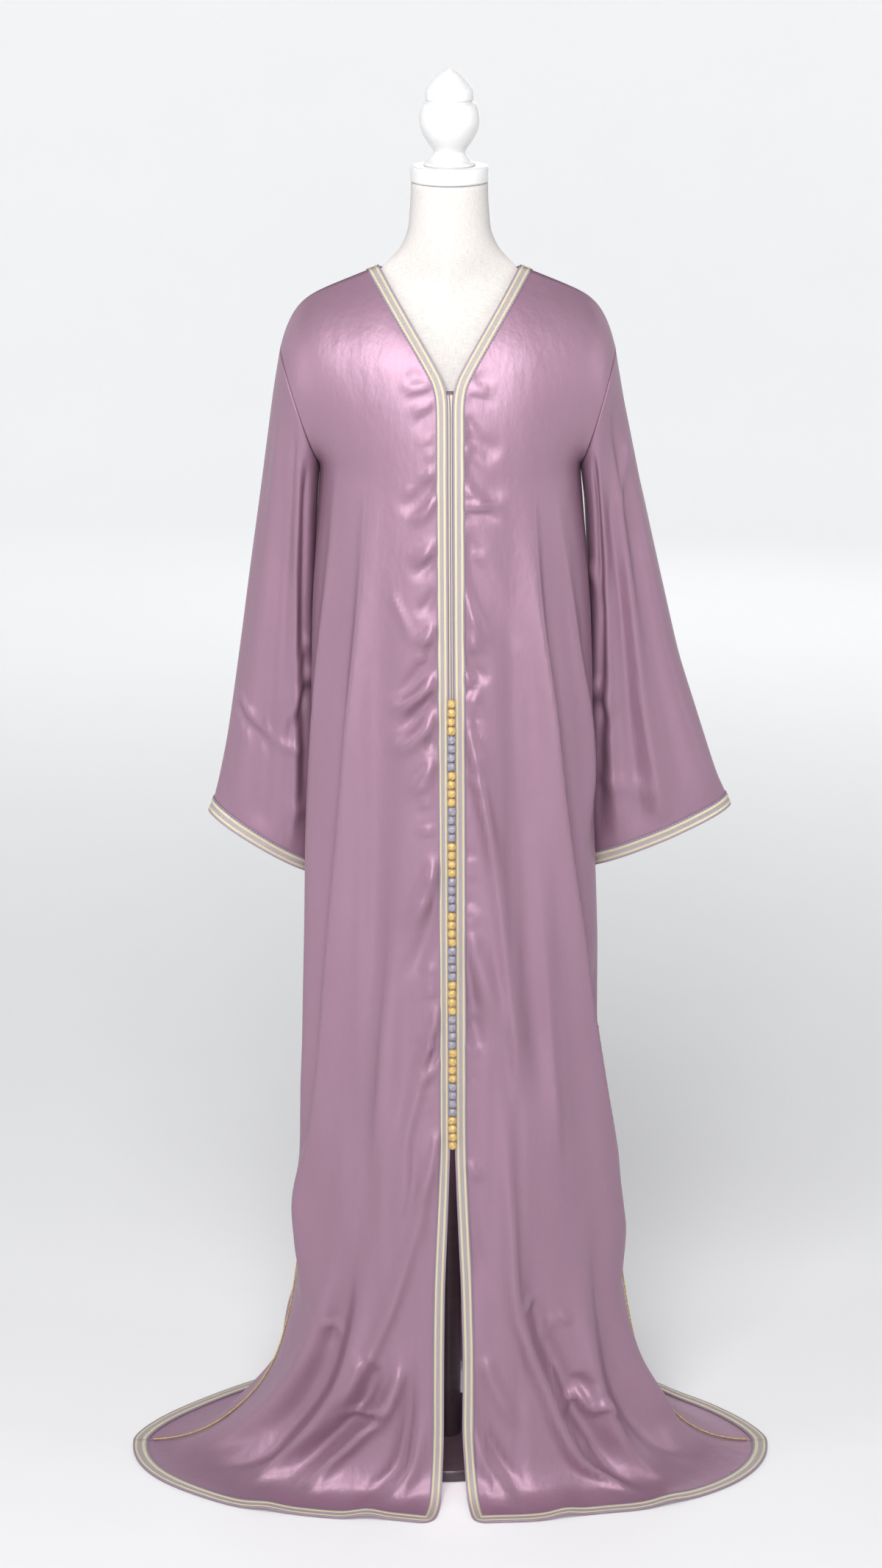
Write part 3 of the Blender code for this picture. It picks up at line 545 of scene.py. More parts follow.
def front_cloth(side):
    sign = SIDES[side]
    shares = front_shares(sign)
    from_edge = shares / edge_shares(sign)[:, None] * BRAID_WIDTH
    hold = lerp(0.10, 1.0, smoothstep(BRAID_WIDTH * 0.7, BRAID_WIDTH * 1.7, from_edge))
    creases = creases_of(FRONT_CREASES[side]) + pucker_rows(sign)
    grid = round_corner(hang(sign, -1, shares, FRONT_FOLDS[side], creases, (5 + sign, 41 + sign), hold))
    return grid, normals(grid, sign)


def back_cloth():
    right, left = (hang(sign, 1, back_shares(sign), BACK_FOLDS, creases_of(BACK_CREASES), (9, 47))
                   for sign in SIDES.values())
    grid = np.concatenate((right[:, :0:-1], left), axis=1)
    return grid, normals(grid, -1)


# Sleeve folds: place across the sleeve at the foot and top in % from its inner edge, along up from
# the cuff in mm at the foot and top, half-width in %, height in mm
SLEEVE_FOLDS = {
    "right": (
        (24, 36, 60, 560, 4.5, 5), (12, 22, 100, 580, 6, -6), (56, 58, 20, 500, 10, -4),
        (80, 78, 40, 560, 9, 4.5), (44, 52, 240, 600, 5, -3.5),
    ),
    "left": (
        (10, 26, 60, 580, 5, -6.5), (22, 36, 80, 560, 4.5, 5.5), (40, 50, 30, 500, 7, -5.5),
        (56, 66, 20, 520, 5, 5), (73, 80, 50, 580, 8, -4.5), (90, 90, 20, 450, 7, 3.5),
    ),
}
# Short creases: place and along of the start and of the end, half-width, height, bend, in % and mm
SLEEVE_CREASES = {
    "right": (
        (3, 300, 42, 165, 7, 5, 4), (3, 275, 36, 155, 7, -4, 4), (8, 340, 28, 245, 5.5, 3.5, 2),
        (94, 165, 42, 150, 6, 3.8, 3), (94, 150, 46, 136, 8, -3.4, 3), (45, 150, 10, 175, 6, 3.2, 2),
        (2, 100, 34, 60, 8, 3.4, 2),
    ),
    "left": (
        (2, 440, 30, 350, 8, 3.6, 3), (2, 270, 30, 190, 8, 4, 3), (2, 245, 26, 165, 7, -3.6, 3),
        (95, 470, 60, 420, 9, 3, 2), (5, 120, 60, 55, 10, 3.4, 4),
    ),
}


def sleeve_cloth(side):
    """Sleeve as a closed tube of rings, from the cuff up to the armhole."""
    sign = SIDES[side]
    table = SLEEVE_ROWS[side][::-1]
    middle = np.column_stack(((table[:, 0] + table[:, 2]) / 2, (table[:, 1] + table[:, 3]) / 2))
    lengths = lengths_along(middle)
    hem = np.linspace(0.0, BRAID_WIDTH, BRAID_STEPS + 1)
    along = np.concatenate((hem, np.linspace(BRAID_WIDTH, lengths[-1], SLEEVE_LONG)[1:]))
    position = len(table) - 1 - np.interp(along, lengths, np.arange(len(table)))
    angle = np.linspace(0.0, 2 * math.pi, SLEEVE_ROUND + 1)[None, :]
    base = smoothed(sleeve_ring(side, position[:, None], angle), SLEEVE_SMOOTHING)
    out = normals(base, -sign)
    scale = float(np.linalg.norm(base[:, 0] - base[:, SLEEVE_ROUND // 2], axis=1).mean())
    share = (1.0 + np.cos(angle)) / 2 + 0.0 * along[:, None]
    spread = np.broadcast_to(along[:, None], share.shape)
    lift = np.zeros_like(share)
    for facing in (-1, 1):
        on_face = smoothstep(0.0, 0.35, -facing * np.sin(angle))
        part = np.zeros_like(share)
        for row in SLEEVE_FOLDS[side]:
            low_s, high_s, low_a, high_a, half, height = np.array(row) / (100, 100, 1000, 1000, 100, 1000)
            line = lerp(low_s, high_s, smoothstep(low_a, high_a, spread))
            line = line + (SLEEVE_BACK_SHIFT if facing > 0 else 0.0)
            ends = smoothstep(low_a - 0.08, low_a + 0.06, spread)
            ends = ends * (1.0 - smoothstep(high_a - 0.08, high_a, spread))
            part += height * ends * np.exp(-((share - line) / half) ** 2)
        for row in SLEEVE_CREASES[side]:
            numbers = np.array(row) / (100 / scale, 1000, 100 / scale, 1000, 1000, 1000, 1000)
            part += stroke(share * scale, spread, numbers[:2], numbers[2:4], *numbers[4:])
        lift += part * on_face
    lift += waver(base[..., 0] + base[..., 1], spread, 21 + sign)
    lift = lift * lerp(0.15, 1.0, smoothstep(BRAID_WIDTH, 0.05, spread))
    lift = lift * (1.0 - smoothstep(lengths[-1] - 0.05, lengths[-1], spread))
    grid = base + out * lift[..., None]
    grid[:, -1] = grid[:, 0]
    out = normals(grid, -sign)
    seam = out[:, 0] + out[:, -1]
    out[:, 0] = out[:, -1] = seam / np.linalg.norm(seam, axis=1, keepdims=True)
    return grid, out, along


# ---- meshes
def mesh_object(name, points, faces, uvs, material):
    """Object from point and face arrays; uvs has one row for each point, or is None."""
    mesh = bpy.data.meshes.new(name)
    mesh.from_pydata(points.tolist(), [], faces)
    if uvs is not None:
        layer = mesh.uv_layers.new(name="UVMap")
        corners = np.empty(len(mesh.loops), dtype=np.int32)
        mesh.loops.foreach_get("vertex_index", corners)
        layer.data.foreach_set("uv", uvs[corners].astype(np.float32).ravel())
    mesh.shade_smooth()
    mesh.materials.append(material)
    obj = bpy.data.objects.new(name, mesh)
    bpy.context.scene.collection.objects.link(obj)
    return obj


def grid_faces(rows, columns, start=0, flip=False):
    r, c = np.meshgrid(np.arange(rows - 1), np.arange(columns - 1), indexing="ij")
    a = (start + r * columns + c).ravel()
    quads = np.column_stack((a, a + 1, a + columns + 1, a + columns))
    return quads[:, ::-1] if flip else quads


def tube_faces(rows, sides, flip=False):
    """Quads between closed rings of points, counted ring by ring."""
    r, c = np.meshgrid(np.arange(rows - 1), np.arange(sides), indexing="ij")
    a, b = (r * sides + c).ravel(), (r * sides + (c + 1) % sides).ravel()
    quads = np.column_stack((a, b, b + sides, a + sides))
    return quads[:, (0, 3, 2, 1)] if flip else quads


def loft(name, rings, material, uvs=None, flip=False):
    """Closed solid through rings of points, with a flat cap at each end."""
    rows, sides = rings.shape[:2]
    first, last = list(range(sides)), list(range((rows - 1) * sides, rows * sides))
    caps = [first, last[::-1]] if flip else [first[::-1], last]
    faces = tube_faces(rows, sides, flip).tolist() + caps
    return mesh_object(name, rings.reshape(-1, 3), faces, uvs, material)


def full_turn(sides):
    return np.linspace(0.0, 2 * math.pi, sides, endpoint=False)


def row_lengths(grid):
    steps = np.linalg.norm(np.diff(grid, axis=1), axis=2)
    return np.concatenate((np.zeros((len(grid), 1)), np.cumsum(steps, axis=1)), axis=1)


def close_seam(obj):
    obj.modifiers.new("close", "WELD").merge_threshold = 0.00005


def cloth_shell(name, grid, along, outward, material, closed=False):
    """A sheet of cloth given its thickness on the inner side."""
    rows, columns = grid.shape[:2]
    uvs = np.stack((row_lengths(grid), np.broadcast_to(along[:, None], (rows, columns))), axis=-1)
    faces = grid_faces(rows, columns, flip=outward < 0).tolist()
    obj = mesh_object(name, grid.reshape(-1, 3), faces, uvs.reshape(-1, 2), material)
    if closed:
        close_seam(obj)
    solid = obj.modifiers.new("thickness", "SOLIDIFY")
    solid.thickness, solid.offset, solid.use_even_offset = SHELL, -1.0, False
    return obj


def braid_profile(q):
    """Height of the braid across its width, q from 0 at the open edge to 1 on the cloth."""
    cords = np.exp(-((q - 0.25) / 0.075) ** 2) + np.exp(-((q - 0.75) / 0.075) ** 2)
    lips = np.exp(-((q - 0.03) / 0.05) ** 2) + np.exp(-((q - 0.97) / 0.05) ** 2)
    return 0.0009 + 0.0009 * cords + 0.0003 * lips


BRAID_Q = np.linspace(0.0, 1.0, 21)


def braid_strip(name, points, out, material, flip, closed=False):
    """Braid over a strip of cloth points (rows along it, columns across it)."""
    rows, columns = points.shape[:2]
    top = points + out * (GAP + braid_profile(BRAID_Q))[None, :, None]
    bottom = points + out * GAP / 2
    run = lengths_along(points[:, columns // 2])
    uv = np.stack(np.broadcast_arrays(BRAID_Q[None, :], run[:, None]), axis=-1).reshape(-1, 2)
    count = rows * columns
    faces = [grid_faces(rows, columns, flip=flip), grid_faces(rows, columns, start=count, flip=not flip)]
    for first in (True, False):
        a = np.arange(rows - 1) * columns + (0 if first else columns - 1)
        side = np.column_stack((a, a + columns, a + columns + count, a + count))
        faces.append(side if first != flip else side[:, ::-1])
    for first in () if closed else (True, False):
        a = (0 if first else (rows - 1) * columns) + np.arange(columns - 1)
        end = np.column_stack((a, a + 1, a + 1 + count, a + count))
        faces.append(end[:, ::-1] if first != flip else end)
    points = np.concatenate((top.reshape(-1, 3), bottom.reshape(-1, 3)))
    obj = mesh_object(name, points, np.concatenate(faces).tolist(), np.concatenate((uv, uv)), material)
    if closed:
        close_seam(obj)
    return obj


def route_of(stations):
    """Row and column indices of a braid from its pairs of index lines."""
    return np.array([rows for rows, _ in stations]), np.array([columns for _, columns in stations])


def front_braid_route(grid):
    """The braid runs down the edge, round the corner and along the hem."""
    rows, columns = grid.shape[:2]
    q = BRAID_Q * BRAID_STEPS
    edge = [(np.full_like(q, r), q) for r in np.arange(rows - 1, BRAID_STEPS, -1)]
    corner = []
    for turn in np.linspace(0.0, 2.0, CORNER_STATIONS):
        outer_row, outer_column = BRAID_STEPS * max(1.0 - turn, 0.0), BRAID_STEPS * max(turn - 1.0, 0.0)
        corner.append((lerp(outer_row, BRAID_STEPS, BRAID_Q), lerp(outer_column, BRAID_STEPS, BRAID_Q)))
    return route_of(edge + corner + [(q, np.full_like(q, c)) for c in range(BRAID_STEPS + 1, columns)])


def end_route(columns):
    """The braid runs across every column at the foot of a grid."""
    q = BRAID_Q * BRAID_STEPS
    return route_of([(q, np.full_like(q, c)) for c in range(columns)])


def back_neck_route(grid):
    """The braid turns down from the shoulder seam and runs round the back of the neck."""
    rows, columns = grid.shape[:2]
    middle = columns // 2
    spacing = np.linalg.norm(grid[-1] - grid[-4], axis=1) / 3.0
    reach = BRAID_WIDTH / spacing
    right, left = middle - NECK_COLUMNS, middle + NECK_COLUMNS
    top = rows - 1.0
    fans = []
    for pivot, far in ((right, right - BRAID_STEPS), (left, left + BRAID_STEPS)):
        fan = []
        for turn in np.linspace(0.0, 2.0, FAN_STATIONS):
            inner_row = top - reach[far] * min(turn, 1.0)
            inner_column = lerp(far, pivot, max(turn - 1.0, 0.0))
            fan.append((lerp(top, inner_row, BRAID_Q), lerp(pivot, inner_column, BRAID_Q)))
        fans.append(fan)
    across = [(top - BRAID_Q * reach[c], np.full_like(BRAID_Q, c)) for c in range(right + 1, left)]
    return route_of(fans[0] + across + fans[1][::-1])


# ---- materials
def srgb(red, green, blue):
    """Linear colour from 0-255 display values."""
    def linear(value):
        value /= 255.0
        return value / 12.92 if value <= 0.04045 else ((value + 0.055) / 1.055) ** 2.4
    return linear(red), linear(green), linear(blue), 1.0


class Look:
    """A node material being put together.  Values may be numbers, colours or sockets."""

    def __init__(self, name):
        self.material = bpy.data.materials.new(name)
        self.material.use_nodes = True
        self.tree = self.material.node_tree
        where = self.add("TexCoord").outputs
        self.uv, self.place = where["UV"], where["Object"]

    def plug(self, socket, value):
        if isinstance(value, bpy.types.NodeSocket):
            self.tree.links.new(value, socket)
        else:
            socket.default_value = value

    def add(self, kind, *values, settings=(), **named):
        """New node: values fill its first inputs in turn, named ones those of that name (_ for a space)."""
        node = self.tree.nodes.new("ShaderNode" + kind)
        for key, value in dict(settings).items():
            setattr(node, key, value)
        for socket, value in zip(node.inputs, values):
            self.plug(socket, value)
        for key, value in named.items():
            self.plug(node.inputs[key.replace("_", " ")], value)
        return node

    def shade(self, **named):
        shader = self.tree.nodes["Principled BSDF"]
        for key, value in named.items():
            self.plug(shader.inputs[key.replace("_", " ")], value)
        return self.material

    def math(self, operation, *values):
        return self.add("Math", *values, settings={"operation": operation}).outputs[0]

    def times(self, a, b):
        return self.math("MULTIPLY", a, b)

    def scaled(self, value, factor, offset):
        return self.math("MULTIPLY_ADD", value, factor, offset)

    def mix(self, factor, first, second):
        """Colours are display values or sockets."""
        first, second = (srgb(*c) if isinstance(c, tuple) else c for c in (first, second))
        node = self.add("Mix", settings={"data_type": "RGBA"})
        for index, value in ((0, factor), (6, first), (7, second)):
            self.plug(node.inputs[index], value)
        return node.outputs[2]

    def noise(self, vector, scale, detail=2.0, roughness=0.5):
        moved = self.add("Mapping", Vector=vector, Scale=scale).outputs[0]
        return self.add("TexNoise", Vector=moved, Scale=1.0, Detail=detail, Roughness=roughness).outputs[0]

    def ramp(self, value, low, high, start=0.0, end=1.0, **settings):
        return self.add("MapRange", value, low, high, start, end, settings=settings).outputs[0]

    def parts(self, vector):
        return self.add("SeparateXYZ", vector).outputs

    def band(self, value, middle, half, soft=0.02):
        """1 where value is within half of middle, softly edged."""
        return self.ramp(self.math("ABSOLUTE", self.math("SUBTRACT", value, middle)), half + soft, half)

    def wave(self, value, period):
        """0 to 1 wave of a value."""
        return self.scaled(self.math("SINE", self.scaled(value, 2 * math.pi / period, 0.0)), 0.5, 0.5)

    def bump(self, height, distance, strength, under=None):
        node = self.add("Bump", Height=height, Distance=distance, Strength=strength)
        if under is not None:
            self.plug(node.inputs["Normal"], under)
        return node.outputs[0]


def satin_material(name, seed):
    look = Look(name)
    shade = look.noise(look.place, (9.0 + seed, 9.0, 4.0), 3.0)
    slub = look.noise(look.uv, (240.0, 1500.0, 1.0), 3.0, 0.6)
    colour = look.mix(shade, (138, 105, 125), (149, 116, 135))
    gloss = look.noise(look.uv, (60.0, 500.0, 1.0))
    crumple = look.bump(look.noise(look.place, (55.0, 55.0, 26.0), 3.0, 0.55), 0.0016, 0.55)
    ripple = look.bump(look.noise(look.place, (160.0, 160.0, 60.0)), 0.0004, 0.45, crumple)
    return look.shade(
        Base_Color=look.mix(look.times(slub, 0.14), colour, (178, 149, 168)),
        Roughness=look.scaled(gloss, 0.08, 0.40), Metallic=0.38, Specular_IOR_Level=0.8,
        Specular_Tint=srgb(250, 238, 246), Normal=look.bump(slub, 0.00012, 0.5, ripple))


def braid_material():
    """Metallic braid: u runs across it from the open edge, v along it in metres."""
    look = Look("braid")
    u, v = look.parts(look.uv)[:2]
    across = look.times(look.times(u, BRAID_WIDTH), 0.9)
    twist, back_twist = (look.wave(look.math(way, v, across), 0.0022) for way in ("ADD", "SUBTRACT"))
    plait = look.math("MAXIMUM", twist, back_twist)
    speckle = look.noise(look.uv, (150.0, 900.0, 1.0), 2.0, 0.7)
    base = look.mix(look.scaled(look.wave(v, 0.0013), 0.55, 0.2), (118, 106, 126), (172, 162, 168))
    middle = look.mix(look.ramp(speckle, 0.42, 0.60), (112, 102, 118), (206, 198, 192))
    colour = look.mix(look.band(u, 0.5, 0.15), base, middle)
    cord = look.math("MAXIMUM", look.band(u, 0.25, 0.085), look.band(u, 0.75, 0.085))
    colour = look.mix(cord, colour, look.mix(twist, (182, 166, 132), (244, 234, 206)))
    dash = look.math("GREATER_THAN", look.wave(v, 0.0044), 0.42)
    colour = look.mix(look.times(look.band(u, 0.945, 0.020, 0.01), dash), colour, (98, 66, 104))
    relief = look.math("ADD", look.times(cord, twist), look.times(plait, 0.5))
    return look.shade(
        Base_Color=colour, Roughness=look.scaled(speckle, 0.3, 0.30), Metallic=look.scaled(cord, 0.25, 0.15),
        Normal=look.bump(look.math("ADD", relief, speckle), 0.00035, 0.8))


def cord_material(name, dark, light):
    """Twisted metal thread."""
    look = Look(name)
    thread = look.noise(look.place, (900.0, 900.0, 1500.0), 2.0, 0.6)
    return look.shade(
        Base_Color=look.mix(look.ramp(thread, 0.35, 0.65), dark, light), Metallic=0.30,
        Roughness=look.scaled(thread, 0.2, 0.34), Normal=look.bump(thread, 0.0003, 0.7))


def tape_material():
    """Ribbed tape of the closure, with a dark end at the foot of the neck opening."""
    look = Look("zip_tape")
    u, v = look.parts(look.uv)[:2]
    ribs = look.wave(v, 0.0016)
    colour = look.mix(ribs, (150, 138, 138), (224, 214, 192))
    colour = look.mix(look.band(u, STRIP_MIDDLE, 0.0005, 0.0004), colour, (92, 76, 92))
    end = look.ramp(look.parts(look.place)[2], ZIP_END_Z - 0.001, ZIP_END_Z + 0.001)
    return look.shade(Base_Color=look.mix(end, colour, (92, 72, 80)), Roughness=0.55,
                      Normal=look.bump(ribs, 0.0003, 0.6))


def linen_material():
    """Stretched linen of the dress form: two crossing sets of uneven threads."""
    look = Look("linen")
    warp = look.noise(look.uv, (1400.0, 90.0, 1.0), 2.0, 0.6)
    weft = look.noise(look.uv, (90.0, 1400.0, 1.0), 2.0, 0.6)
    cloth = look.times(look.math("ADD", warp, weft), 0.5)
    colour = look.mix(look.ramp(cloth, 0.38, 0.62), (184, 180, 176), (207, 203, 200))
    return look.shade(Base_Color=colour, Roughness=0.88, Specular_IOR_Level=0.25,
                      Normal=look.bump(cloth, 0.0004, 0.6))


def lacquer_material(name, light, dark, roughness, grain):
    """Painted surface with a faint unevenness in tone, gloss and height."""
    look = Look(name)
    uneven = look.noise(look.place, (grain, grain, grain * 2.0), 4.0, 0.6)
    return look.shade(Base_Color=look.mix(uneven, dark, light), Coat_Weight=0.25,
                      Roughness=look.scaled(uneven, 0.14, roughness), Normal=look.bump(uneven, 0.0004, 0.25))


def floor_material():
    """Backdrop paper with painted light: it glows a little, more so far from the part and behind it, though
    it is no lamp.
    """
    look = Look("paper")
    faint = look.noise(look.place, (3.0, 3.0, 3.0), 3.0)
    away = look.add("VectorMath", look.place, settings={"operation": "LENGTH"}).outputs["Value"]
    glow = look.ramp(away, 0.8, 5.0, 0.12, 0.46, interpolation_type="SMOOTHSTEP")
    rear = look.ramp(look.parts(look.place)[1], -5.0, 1.0, 0.35, 1.0)
    return look.shade(
        Base_Color=look.mix(faint, (219, 219, 220), (223, 223, 224)), Roughness=0.75, Specular_IOR_Level=0.2,
        Emission_Color=srgb(250, 251, 252), Emission_Strength=look.times(glow, rear))


# ---- closure, knots and cords
ZIP_END_Z = 1.437
STRIP_COLUMNS = 9
STRIP_MIDDLE = 0.0027                # about half the width of the strip
BRAID_TOP = 0.0018                   # how far the braid stands off the cloth
KNOT_TOP_Z, KNOT_FOOT_Z = 1.066, 0.491
KNOT_GROUPS, KNOTS_IN_GROUP = 13, 4
KNOT_RADIUS = 0.0047
KNOT_ROUND, KNOT_TALL = 28, 15
KNOT_SPREAD = 1.18                   # a knot is wider than it is deep


def closure_line(fronts):
    """Both front edges and the way out of the cloth, from the slit up to the V point."""
    left, left_out = (part[SLIT_ROW:V_ROW + 1, 0] for part in fronts["left"])
    right, right_out = (part[SLIT_ROW:V_ROW + 1, 0] for part in fronts["right"])
    out = left_out + right_out
    out[:, 0] = 0.0
    out /= np.linalg.norm(out, axis=1, keepdims=True)
    return right, left, out


def finer(points, at):
    """Points of a line at fractional positions along it."""
    return np.stack([np.interp(at, np.arange(len(points)), points[:, k]) for k in range(3)], axis=1)


def build_strip(fronts, material):
    """Ribbed tape that fills the gap between the two front edges."""
    right, left, out = closure_line(fronts)
    fine = np.linspace(0, len(right) - 1, (len(right) - 1) * 5 + 1)
    right, left, out = (finer(part, fine) for part in (right, left, out))
    share = np.linspace(0.0, 1.0, STRIP_COLUMNS)
    width = np.linalg.norm(left - right, axis=1)[:, None, None]
    inset = GAP / width
    grid = right[:, None] + (left - right)[:, None] * (inset + (1 - 2 * inset) * share[None, :, None])
    crown = 0.0006 * np.sin(math.pi * share) ** 0.5
    grid = grid + out[:, None] * crown[None, :, None]
    return cloth_shell("closure_strip_tape", grid, lengths_along(grid[:, 0]), 1, material)


def knot_mesh():
    """One round knot of two crossing plaits of thread."""
    tall = np.linspace(-math.pi / 2, math.pi / 2, KNOT_TALL)[:, None]
    turn = full_turn(KNOT_ROUND)[None, :]
    plait = np.maximum(np.cos(4 * turn + 3.2 * tall), np.cos(4 * turn - 3.2 * tall))
    radius = KNOT_RADIUS * (0.90 + 0.10 * plait * np.cos(tall) + 0.0 * turn)
    points = np.stack((radius * np.cos(tall) * np.cos(turn), radius * np.cos(tall) * np.sin(turn),
                       radius * 1.06 * np.sin(tall) + 0.0 * turn), axis=-1)
    return points.reshape(-1, 3), tube_faces(KNOT_TALL, KNOT_ROUND)


def build_knots(fronts, materials):
    """52 knots that touch, in groups of four, gold and silver in turn."""
    right, left, out = closure_line(fronts)
    middle = (right + left) / 2
    count = KNOT_GROUPS * KNOTS_IN_GROUP
    pitch = (KNOT_TOP_Z - KNOT_FOOT_Z) / (count - 1)
    shape, faces = knot_mesh()
    points = {0: [], 1: []}
    for k in range(count):
        z = KNOT_TOP_Z - pitch * k
        place = np.array([np.interp(z, middle[:, 2], middle[:, axis]) for axis in range(3)])
        away = np.array([np.interp(z, middle[:, 2], out[:, axis]) for axis in range(3)])
        centre = place + away * (BRAID_TOP + KNOT_RADIUS) + np.array((rng.normal(0, 0.00025), 0.0, 0.0))
        turn = rng.uniform(0, math.pi)
        tilt = rng.normal(0, 0.08)
        size = pitch / (2 * KNOT_RADIUS) * 1.02 * rng.uniform(0.97, 1.03)
        c, s = math.cos(turn), math.sin(turn)
        knot = shape @ np.array(((c, s, 0), (-s, c, 0), (0, 0, 1)))
        c, s = math.cos(tilt), math.sin(tilt)
        knot = knot @ np.array(((c, 0, s), (0, 1, 0), (-s, 0, c)))
        knot *= np.array((KNOT_SPREAD, 1.0, min(size, 1.25)))
        points[k // KNOTS_IN_GROUP % 2].append(centre + knot)
    objects = []
    for group, name in ((0, "knots_gold"), (1, "knots_silver")):
        chunks = points[group]
        all_faces = np.concatenate([faces + i * len(shape) for i in range(len(chunks))])
        objects.append(mesh_object(name, np.concatenate(chunks), all_faces.tolist(), None, materials[group]))
    return objects


def tube(name, path, radius, sides, material, twist, ply):
    """Tube along a path, of two plies that turn round it by twist radians a metre."""
    tangent = np.gradient(path, axis=0)
    tangent /= np.linalg.norm(tangent, axis=1, keepdims=True)
    first = np.cross(tangent, (0.0, 1.0, 0.0))
    first /= np.linalg.norm(first, axis=1, keepdims=True)
    second = np.cross(tangent, first)
    angle = full_turn(sides)
    size = radius * (1.0 - ply + ply * np.cos(2 * angle[None, :] + twist * lengths_along(path)[:, None]))
    rings = path[:, None] + size[..., None] * (np.cos(angle)[None, :, None] * first[:, None]
                                               + np.sin(angle)[None, :, None] * second[:, None])
    return loft(name, rings, material, flip=True)


def build_side_cord(side, front, material):
    """A thin gold cord on the side seam, from the hem braid up to the knee."""
    grid, out = front
    rows = np.nonzero((ALONG > BRAID_WIDTH * 1.1) & (grid[:, -1, 2] < CORD_TOP_Z))[0]
    path = grid[rows, -1] + out[rows, -1] * (CORD_RADIUS + GAP)
    path = smoothed(finer(path, np.linspace(0, len(rows) - 1, 5 * len(rows))), 6.0)
    return tube("cord_side_" + side, path, CORD_RADIUS, 10, material, 2 * math.pi / CORD_TURN, CORD_PLY)


# ---- dress form
# z, half_width, front, back in mm, exponent
FORM_ROWS = np.array((
    (860, 148, 104, 102, 2), (940, 158, 112, 110, 2), (1040, 140, 100, 98, 2), (1120, 124, 92, 88, 2),
    (1200, 134, 100, 88, 2), (1270, 145, 109, 92, 2), (1340, 147, 105, 94, 2), (1410, 150, 92, 93, 2),
    (1460, 156, 76, 86, 1.9), (1495, 158, 62, 74, 1.8), (1522, 145, 52, 64, 1.5), (1541, 120, 46, 57, 1.3),
    (1558, 94, 43, 52, 1.15), (1575, 77, 42, 48, 1.3), (1592, 61, 42, 46, 1.7), (1610, 51.5, 42, 45, 2),
    (1640, 47, 43, 44, 2), (1672, 45.5, 43, 43, 2),
)) / (1000, 1000, 1000, 1000, 1)
FORM_ROUND, FORM_TALL = 120, 150
DISC_RADIUS, DISC_Z, DISC_THICK = 0.0465, 1.6725, 0.0195
# Turned finial on the disc: height above the disc and radius, in mm
FINIAL_PROFILE = np.array((
    (0, 31), (3, 30), (6, 24.8), (13.8, 19.2), (19.5, 20.8), (27, 26.2), (35.4, 31.2), (44, 34.6),
    (51.3, 35.8), (61, 35), (70.6, 31.8), (73.8, 28), (74.8, 27.2), (76.5, 28.4), (79.7, 28.8), (86, 28.2),
    (90, 26.6), (96.8, 21.4), (105.9, 13), (112.7, 3),
)) / 1000
POLE_RADIUS = 0.016
BASE_RADIUS, BASE_HEIGHT = 0.110, 0.016


def build_torso(material):
    z = np.linspace(FORM_ROWS[0, 0], FORM_ROWS[-1, 0], FORM_TALL)
    width, front, back, power = (curve_through(FORM_ROWS[:, 0], part, z)[:, None] for part in FORM_ROWS.T[1:])
    angle = full_turn(FORM_ROUND)[None, :]
    depth = np.where(np.sin(angle) > 0, back, front)
    power = 2.0 / power
    rings = stack(width * spow(np.cos(angle), power), depth * spow(np.sin(angle), power), z[:, None])
    uvs = np.stack(np.broadcast_arrays(angle * 0.12, z[:, None]), axis=-1).reshape(-1, 2)
    return loft("torso_linen", rings, material, uvs)


def turned(name, profile, foot, material, sides=72):
    """Round solid from (height, radius) pairs."""
    angle, heights, radii = full_turn(sides), profile[:, :1], profile[:, 1:]
    return loft(name, stack(radii * np.cos(angle), radii * np.sin(angle), foot + heights), material)


def rounded(profile, steps=6):
    """A profile with a smooth curve put through its points."""
    t = np.arange(len(profile))
    at = np.linspace(0, len(profile) - 1, (len(profile) - 1) * steps + 1)
    return np.column_stack([curve_through(t, profile[:, k], at) for k in range(2)])


def edged(radius, height, soften, steps=5):
    """Cylinder profile with softened rims."""
    turn = np.linspace(0.0, math.pi / 2, steps)
    low = np.column_stack((soften * (1 - np.cos(turn)), radius - soften * (1 - np.sin(turn))))
    high = np.column_stack((height - soften * (1 - np.sin(turn)), radius - soften * (1 - np.cos(turn))))
    return np.concatenate((low, high))


# ---- stage
def smooth_cove(material):
    """Round floor that curves up into a backdrop on every side."""
    wall, top, bend, sides = 9.3, 7.0, 3.0, 96
    turn = np.linspace(0.0, math.pi / 2, 17)
    radii = np.concatenate(((0.9, 2.6), wall - bend + bend * np.sin(turn), (wall,)))[:, None]
    heights = np.concatenate(((0.0, 0.0), bend - bend * np.cos(turn), (top,)))[:, None]
    points = stack(radii * np.cos(full_turn(sides)), radii * np.sin(full_turn(sides)), heights)
    faces = tube_faces(len(radii), sides, flip=True).tolist() + [list(range(sides))]
    mesh_object("studio_cove", points.reshape(-1, 3), faces, None, material)


# Place, target, size, watts and colour of each light
LIGHTS = {
    "key": ((-0.3, -4.5, 2.25), (0.0, 0.0, 1.20), (1.5, 2.1), 112, (1.0, 1.0, 1.0)),
    "top": ((-0.3, -1.9, 3.2), (0.0, 0.0, 1.45), (1.4, 0.9), 64, (1.0, 1.0, 1.0)),
    "side_right": ((2.9, -1.0, 2.0), (0.0, 0.0, 0.9), (0.6, 2.0), 12, (1.0, 1.0, 1.0)),
    "side_left": ((-2.9, -1.2, 2.0), (0.0, 0.0, 0.8), (0.6, 2.0), 14, (1.0, 1.0, 1.0)),
    "back": ((0.6, 4.6, 2.1), (0.0, 0.0, 0.9), (1.6, 2.4), 14, (1.0, 1.0, 1.0)),
    "inside_skirt": ((0.0, -0.06, 0.62), (0.0, 0.16, 0.20), (0.10, 0.10), 1.5, (1.0, 0.84, 0.92)),
}
